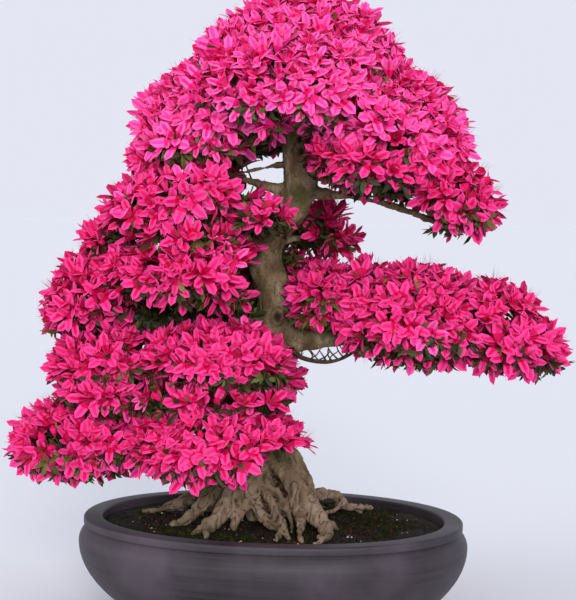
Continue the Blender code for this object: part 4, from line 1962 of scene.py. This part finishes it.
@dataclass
class Scatter:
    """Sets small shapes on points with a node tree, and gives each face its plain colour."""

    name: str
    shapes: list[Object]
    shades: dict[int, Material]
    seed: int
    variation: float = 0.10

    def __post_init__(self) -> None:
        """Gather the shapes and wire the tree."""
        self.collection = bpy.data.collections.new(self.name)
        for shape in self.shapes:
            for home in list(shape.users_collection):
                home.objects.unlink(shape)
            self.collection.objects.link(shape)
        self.tree = bpy.data.node_groups.new(self.name, "GeometryNodeTree")
        self.wires = Wiring(self.tree)
        self.wire()

    def mark(self, label: str, kind: str) -> NodeSocket:
        """Read a named mark of the points or faces."""
        return self.wires.add("GeometryNodeInputNamedAttribute", {"Name": label}, data_type=kind).outputs[0]

    def wire(self) -> None:
        """Wire the tree: shapes on points, made real, then painted zone by zone."""
        sockets = {"Points": "Geometry", "Scale": "Float", "Variation": "Float", "Seed": "Int"}
        for label, kind in sockets.items():
            self.tree.interface.new_socket(label, in_out="INPUT", socket_type=f"NodeSocket{kind}")
        self.tree.interface.new_socket("Pieces", in_out="OUTPUT", socket_type="NodeSocketGeometry")
        add, math_of = self.wires.add, self.wires.math
        given = add("NodeGroupInput").outputs
        source = {"Collection": self.collection, "Separate Children": True, "Reset Children": True}
        shapes = add("GeometryNodeCollectionInfo", source).outputs["Instances"]
        least = math_of("SUBTRACT", 1.0, given["Variation"])
        most = math_of("ADD", 1.0, given["Variation"])
        limits = {2: least, 3: most, "Seed": given["Seed"]}
        luck = add("FunctionNodeRandomValue", limits, data_type="FLOAT").outputs[1]
        size = math_of("MULTIPLY", self.mark("size", "FLOAT"), given["Scale"])
        setting = {
            "Points": given["Points"],
            "Instance": shapes,
            "Pick Instance": True,
            "Instance Index": self.mark("kind", "INT"),
            "Rotation": self.mark("turn", "QUATERNION"),
            "Scale": math_of("MULTIPLY", size, luck),
        }
        placed = add("GeometryNodeInstanceOnPoints", setting).outputs[0]
        flow = add("GeometryNodeRealizeInstances", {"Geometry": placed}).outputs[0]
        shade = math_of("ADD", self.mark("zone", "INT"), self.mark("tone", "INT"))
        for number, material in self.shades.items():
            compared = {"A": shade, "B": number, "Epsilon": 0.1}
            same = add("FunctionNodeCompare", compared, data_type="FLOAT", operation="EQUAL").outputs[0]
            painted = {"Geometry": flow, "Selection": same, "Material": material}
            flow = add("GeometryNodeSetMaterial", painted).outputs[0]
        add("NodeGroupOutput", {0: flow})

    def build(self, spread: Spread, name: str) -> Object:
        """Set the shapes on the places and make the whole a plain mesh.

        Args:
            spread: The places.
            name: The piece's name.

        Returns:
            The piece.
        """
        piece = spread.build(name)
        modifier = piece.modifiers.new("scatter", "NODES")
        modifier.node_group = self.tree
        values = {"Scale": 1.0, "Variation": self.variation, "Seed": self.seed}
        for item in self.tree.interface.items_tree:
            if item.in_out == "INPUT" and item.name in values:
                modifier[item.identifier] = values[item.name]
        settle(piece)
        for label in ("turn", "size", "kind", "zone", "tone"):
            extra = piece.data.attributes.get(label)
            if extra is not None:
                piece.data.attributes.remove(extra)
        return piece

    def clear(self) -> None:
        """Take the shapes and the tree away once everything is set."""
        for shape in self.shapes:
            mesh = shape.data
            bpy.data.objects.remove(shape)
            bpy.data.meshes.remove(mesh)
        bpy.data.collections.remove(self.collection)
        bpy.data.node_groups.remove(self.tree)


def facing(axis: Vector, spin: float) -> Quaternion:
    """Turn +Z to an axis, spun about it."""
    return axis.to_track_quat("Z", "Y") @ Quaternion(UP, spin)


def lying(way: Vector, upper: Vector) -> Quaternion:
    """Turn +X to a way, with +Z as near to the upper side as it can be.

    Args:
        way: The way.
        upper: Where the upper side should look.

    Returns:
        The turn.
    """
    across = upper.cross(way)
    if across.length < 1e-4:
        across = way.orthogonal()
    across.normalize()
    top = way.cross(across)
    return Matrix((way, across, top)).transposed().to_quaternion()


class Bloom(IntEnum):
    """The flowers that aren't open, by their number among the small shapes."""

    HALF_OPEN = 4
    BUD = 5


@dataclass(frozen=True)
class Ring:
    """A kind of ring of leaves: how many, their angle from the twig, and how much fresher they are."""

    count: int
    tilt: float
    fresher: float = 0.0


@dataclass
class Foliage:
    """Dresses the twigs' ends: flowers, the ruff of leaves below each, and whorls of leaves."""

    seed: int = 37
    spray_size: float = 0.055
    spray_rate: float = 0.37
    ruff: Ring = Ring(2, 52.0, 0.14)
    whorl: Ring = Ring(6, 58.0)
    inner: Ring = Ring(5, 62.0)
    green_steps: tuple[float, ...] = (0.50, 0.66, 0.82)
    spray_share: float = 0.55
    ring_out: float = 0.0012
    # Painted shade: below the crown's foot most flowers take the darker blend, above it most take the clear
    # one.
    rich_low: float = 0.92
    rich_high: float = 0.22
    rich_spread: float = 0.16
    crown_foot: float = 0.66
    bud_share: float = 0.06
    half_open_share: float = 0.12

    def __post_init__(self) -> None:
        """Start the seeded rule, the small shapes and the finishes."""
        self.chance = np.random.default_rng(self.seed)
        shades = {Tone.RICH + zone: petal for zone, petal in enumerate(RICH_AND_SHADE_BLOSSOM.build())}
        shades |= {Tone.CLEAR + zone: petal for zone, petal in enumerate(CLEAR_BLOSSOM.build())}
        flowers = (
            Flower("flower_a", 46.0, 22.0, 1, 0.92),
            Flower("flower_b", 52.0, 18.0, 2, 0.98),
            Flower("flower_c", 38.0, 36.0, 3, 0.84),
            Flower("flower_d", 34.0, 24.0, 4, 0.92),
            Flower("flower_e", 20.0, 14.0, 5, 0.84),
            Bud("flower_f"),
        )
        self.blossoms = Scatter("blossoms", [flower.build() for flower in flowers], shades, 5)
        blades = (
            LeafBlade("leaf_a", 0.0190, 0.0031, 0.35, 0.10),
            LeafBlade("leaf_b", 0.0165, 0.0029, 0.20, 0.28),
            LeafBlade("leaf_c", 0.0145, 0.0025, 0.60, 0.04),
        )
        greens = dict(enumerate(LEAF_COLOURS.build()))
        self.leaves = Scatter("leaves", [blade.build() for blade in blades], greens, 7, 0.22)

    def spray(self, place: Vector) -> float:
        """Give the spray's own number from 0 to 1 at a place, the same for a whole spray."""
        cell = Vector([round(value / self.spray_size) for value in place])
        return noise.noise(cell * self.spray_rate + Vector((4.2, 1.7, 9.3))) * 0.5 + 0.5

    def green(self, place: Vector, fresher: float) -> Leaf:
        """Deal out a green for a leaf."""
        value = self.spray(place) * self.spray_share + self.chance.random() * (1.0 - self.spray_share)
        return Leaf(sum(value + fresher >= step for step in self.green_steps))

    def set_ring(self, leaves: Spread, ring: Ring, place: Vector, axis: Vector) -> None:
        """Put a ring of leaves round an axis.

        Args:
            leaves: Where the leaves are gathered.
            ring: The kind of ring.
            place: The ring's middle.
            axis: The way the twig looks.
        """
        start = self.chance.uniform(0.0, math.tau)
        side = axis.orthogonal().normalized()
        for index in range(ring.count):
            turn = start + index * math.tau / ring.count + self.chance.normal(0.0, 0.25)
            out = Quaternion(axis, turn) @ side
            lean = math.radians(ring.tilt + self.chance.normal(0.0, 14.0))
            way = (axis * math.cos(lean) + out * math.sin(lean)).normalized()
            upper = (axis + UP * 0.5).normalized()
            size = self.chance.uniform(0.80, 1.20)
            kind = int(self.chance.integers(0, 3))
            tone = self.green(place, ring.fresher)
            leaves.put(place + out * self.ring_out, lying(way, upper), size, kind, tone)

    def set_flower(self, blossoms: Spread, site: Site) -> None:
        """Set a flower on a twig's end.

        Args:
            blossoms: Where the flowers are gathered.
            site: The end.
        """
        luck = self.chance.random()
        kind = int(self.chance.integers(0, Bloom.HALF_OPEN))
        if luck < self.bud_share:
            kind = Bloom.BUD
        elif luck < self.bud_share + self.half_open_share:
            kind = Bloom.HALF_OPEN
        # Painted shade: low on the tree the darker blend is dealt far more often.
        share = self.rich_low if site.place.z < self.crown_foot else self.rich_high
        clear = self.spray(site.place) + self.chance.normal(0.0, self.rich_spread) > share
        tone = Tone.CLEAR if clear else Tone.RICH
        size = self.chance.uniform(0.86, 1.12) * site.size
        turn = facing(site.axis, self.chance.uniform(0.0, math.tau))
        blossoms.put(site.place, turn, size, kind, tone)

    def dress(self, sites: list[Site], forks: list, blossoms: Spread, leaves: Spread) -> None:
        """Dress the ends of a tier's twigs.

        Args:
            sites: The ends.
            forks: Forks inside the pad, as (place, way), that bear leaves too.
            blossoms: Where the flowers are gathered.
            leaves: Where the leaves are gathered.
        """
        for site in sites:
            if site.flower:
                self.set_flower(blossoms, site)
            self.set_ring(leaves, self.ruff if site.flower else self.whorl, site.place, site.axis)
        for place, way in forks:
            self.set_ring(leaves, self.inner, Vector(place), Vector(way))


@dataclass
class LitterBed:
    """What lies on the soil: grit, bits of bark, pumice and tufts of moss."""

    bed: SoilBed
    seed: int = 53
    grit_count: int = 5200
    grit_steps: tuple[float, ...] = (0.60, 0.90, 0.965)
    grain_radius: float = 0.0017
    moss_count: int = 2400
    patch_rate: float = 15.0
    spikes: int = 7
    margin: float = 0.034

    def __post_init__(self) -> None:
        """Start the seeded rule and the finishes."""
        self.chance = np.random.default_rng(self.seed)
        self.finishes = LITTER_COLOURS.build()

    def grain(self, name: str, seed: int) -> Object:
        """Build a stone of eight faces.

        Args:
            name: Its name.
            seed: Which one it is.

        Returns:
            The stone.
        """
        chance = np.random.default_rng(seed)
        shape = Shape()
        corners = ((1, 0, 0), (0, 1, 0), (-1, 0, 0), (0, -1, 0), (0, 0, 1), (0, 0, -1))
        for corner in corners:
            shape.vertices.append(Vector(corner) * chance.uniform(0.65, 1.25) * self.grain_radius)
        for index in range(4):
            after = (index + 1) % 4
            shape.faces += [(index, after, 4), (after, index, 5)]
            shape.zones += [0, 0]
        stone = shape.build(name)
        stone.data.shade_flat()
        return stone

    def tuft(self, name: str, seed: int) -> Object:
        """Build a tuft of moss from short spikes.

        Args:
            name: Its name.
            seed: Which one it is.

        Returns:
            The tuft.
        """
        chance = np.random.default_rng(seed)
        shape = Shape()
        for _ in range(self.spikes):
            turn = chance.uniform(0.0, math.tau)
            out = Vector((math.cos(turn), math.sin(turn), 0.0)) * chance.uniform(0.0, 0.0022)
            end = out * chance.uniform(1.2, 2.2) + UP * chance.uniform(0.0016, 0.0038)
            shape.spike(out, end, 0.0006, 0)
        return shape.build(name)

    def place(self) -> Vector:
        """Pick a place on the soil.

        Returns:
            The place.
        """
        oval = self.bed.oval
        while True:
            x = self.chance.uniform(-oval.half_length, oval.half_length)
            y = self.chance.uniform(-oval.half_width, oval.half_width)
            inset = oval.inset_of(x, y)
            if inset > self.margin:
                return Vector((x, y, self.bed.height_at(x, y, inset)))

    def grit(self) -> Object:
        """Scatter the grit.

        Returns:
            The finished piece.
        """
        shades = {tone: self.finishes[tone] for tone in range(Litter.MOSS)}
        grains = [self.grain(f"grain_{number}", number) for number in range(3)]
        scatter = Scatter("grit", grains, shades, 3, 0.4)
        spread = Spread()
        for _ in range(self.grit_count):
            spot = self.place()
            luck = self.chance.random()
            tone = Litter(sum(luck >= step for step in self.grit_steps))
            axis = Vector(self.chance.normal(0.0, 1.0, 3)).normalized()
            turn = Quaternion(axis, self.chance.uniform(0.0, 3.1))
            spread.put(spot, turn, self.chance.uniform(0.6, 1.4), int(self.chance.integers(0, 3)), tone)
        piece = scatter.build(spread, "soil_grit")
        scatter.clear()
        return piece

    def moss(self) -> Object:
        """Scatter the moss, in patches that are thicker on the right.

        Returns:
            The finished piece.
        """
        shades = {0: self.finishes[Litter.MOSS], 1: self.finishes[Litter.PALE_MOSS]}
        tufts = [self.tuft(f"tuft_{number}", number) for number in range(3)]
        scatter = Scatter("moss", tufts, shades, 9, 0.3)
        spread = Spread()
        while len(spread.rows) < self.moss_count:
            spot = self.place()
            flat = Vector((spot.x, spot.y, 0.0))
            patch = noise.noise(flat * self.patch_rate + Vector((7.7, 2.2, 0.0)))
            if patch + self.chance.normal(0.0, 0.08) + (0.12 if spot.x > 0.05 else -0.04) < 0.02:
                continue
            tone = 1 if self.chance.random() < 0.22 + patch * 0.3 else 0
            turn = Quaternion(UP, self.chance.uniform(0.0, math.tau))
            spread.put(spot, turn, self.chance.uniform(0.7, 1.3), int(self.chance.integers(0, 3)), tone)
        piece = scatter.build(spread, "soil_moss")
        scatter.clear()
        return piece


@dataclass(frozen=True)
class Lamp:
    """A broad soft light that falls evenly on everything.

    Toward is the way to it, its softness is in degrees and its strength in watts a square metre.
    """

    name: str
    toward: Triple
    softness: float
    strength: float

    def build(self) -> None:
        """Hang the light."""
        data = bpy.data.lights.new(self.name, "SUN")
        data.angle = math.radians(self.softness)
        data.energy = self.strength
        lamp = new_object(self.name, data)
        lamp.location = self.toward
        lamp.rotation_mode = "QUATERNION"
        lamp.rotation_quaternion = Vector(self.toward).to_track_quat("Z", "Y")


@dataclass(frozen=True)
class Studio:
    """The plain pale floor, the soft light and the camera."""

    floor_size: float = 400.0
    floor: PlainFinish = PlainFinish("floor_paint", (225, 226, 229), 0.9, 0.1)
    wall: Colour = (228, 230, 243)
    lamps: tuple[Lamp, ...] = (
        Lamp("key", (1.2, -4.32, 1.36), 19.5, 1.90),
        Lamp("fill", (-3.3, -2.1, 1.2), 32.0, 0.78),
    )
    distance: float = 2.1
    turn: float = 8.0
    pan: float = -0.47
    pitch: float = 3.2
    roll: float = 0.87
    eye: float = 0.571
    lens: float = 89.1

    def camera(self) -> None:
        """Set up the camera."""
        around, yaw = math.radians(self.turn), math.radians(self.turn + self.pan)
        place = Vector((math.sin(around), -math.cos(around), 0.0)) * self.distance + UP * self.eye
        aim = Matrix.Rotation(yaw, 4, "Z") @ Matrix.Rotation(math.radians(90.0 - self.pitch), 4, "X")
        data = bpy.data.cameras.new("camera")
        data.lens = self.lens
        data.sensor_width = 36.0
        eye = new_object("camera", data)
        level = Matrix.Rotation(math.radians(self.roll), 4, "Z")
        eye.matrix_world = Matrix.Translation(place) @ aim @ level
        bpy.context.scene.camera = eye

    def build(self) -> None:
        """Set the stage."""
        half = self.floor_size / 2.0
        corners = np.array([(-half, -half, 0.0), (half, -half, 0.0), (half, half, 0.0), (-half, half, 0.0)])
        floor = new_object("floor", mesh_of("floor", corners, [(0, 1, 2, 3)]), self.floor.build())
        world = bpy.data.worlds.new("pale_room")
        world.use_nodes = True
        world.node_tree.nodes["Background"].inputs["Color"].default_value = linear(self.wall)
        bpy.context.scene.world = world
        for lamp in self.lamps:
            lamp.build()
        bpy.context.scene.view_settings.view_transform = "Standard"
        self.camera()


def limb_rows(tier: Tier, trunk: TrunkLine) -> Array:
    """Find the stretch of a limb that bears a tier.

    Args:
        tier: The tier.
        trunk: The trunk's middle line.

    Returns:
        Rows of x, y, z and thickness along that stretch.
    """
    if tier.limb == "trunk":
        rows = trunk.rows()
        return rows[(rows[:, 2] >= tier.low) & (rows[:, 2] <= tier.high)]
    rows = BOUGHS[tier.limb].rows(trunk)
    return rows[int(len(rows) * tier.low) : int(math.ceil(len(rows) * tier.high))]


def build_crown(frame: dict, trunk: TrunkLine, bark: Material) -> None:
    """Grow the twigs, flowers and leaves in place of the pads.

    Args:
        frame: The loaded frame.
        trunk: The trunk's middle line.
        bark: The twigs' material.
    """
    crown = Crown(frame["nodes"])
    foliage = Foliage()
    limbs = np.vstack([trunk.rows()] + [bough.rows(trunk) for bough in BOUGHS.values()])
    limbs[:, 3] /= 2.0
    for group in dict.fromkeys(tier.group for tier in TIERS):
        twigs = Twigs()
        blossoms, leaves = Spread(), Spread()
        pads = []
        for tier in TIERS:
            if tier.group != group:
                continue
            sites = crown.sites(tier, limbs)
            twigs.nodes.clear()
            twigs.fill(tier, limb_rows(tier, trunk), sites)
            if tier.limb in BOUGHS:
                rows = BOUGHS[tier.limb].rows(trunk)
                twigs.shoots(rows[len(rows) // 4 : len(rows) * 3 // 4], tier.shoots)
            foliage.dress(sites, twigs.nodes, blossoms, leaves)
            pads += [PAD_PREFIX + pad for pad in tier.pads if PAD_PREFIX + pad in frame["nodes"]]
            flowers = sum(site.flower for site in sites)
            LOG.info("%s: %d ends, %d flowers", ", ".join(tier.pads), len(sites), flowers)
        for rows in BARE_SPRAY.twigs() if group == BARE_SPRAY.group else ():
            twigs.heap.lay(rows, twigs.sides + 2)
        show(foliage.blossoms.build(blossoms, f"blossom_{group}"), "blossom", *pads)
        show(foliage.leaves.build(leaves, f"leaves_{group}"), "blossom")
        show(new_object(f"twigs_{group}", twigs.heap.mesh(f"twigs_{group}"), bark), "bark")
    foliage.blossoms.clear()
    foliage.leaves.clear()


def main() -> None:
    """Build the bonsai on its frame."""
    logging.basicConfig(level=logging.INFO, format="%(message)s")
    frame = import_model()
    trunk = TrunkLine()
    oval = Oval(half_length=0.270, half_width=0.205)
    show(OvalPot(oval, height=0.145).build(), "clay", "pot")
    bed = SoilBed(oval, top=0.138)
    show(bed.build(), "soil", "soil")
    litter = LitterBed(bed)
    show(litter.grit(), "soil")
    show(litter.moss(), "soil")
    show(Woodwork(trunk).build(), "bark", "trunk", *BOUGHS)
    build_crown(frame, trunk, TwigFinish().build())
    Studio().build()


if __name__ == "__main__":
    main()
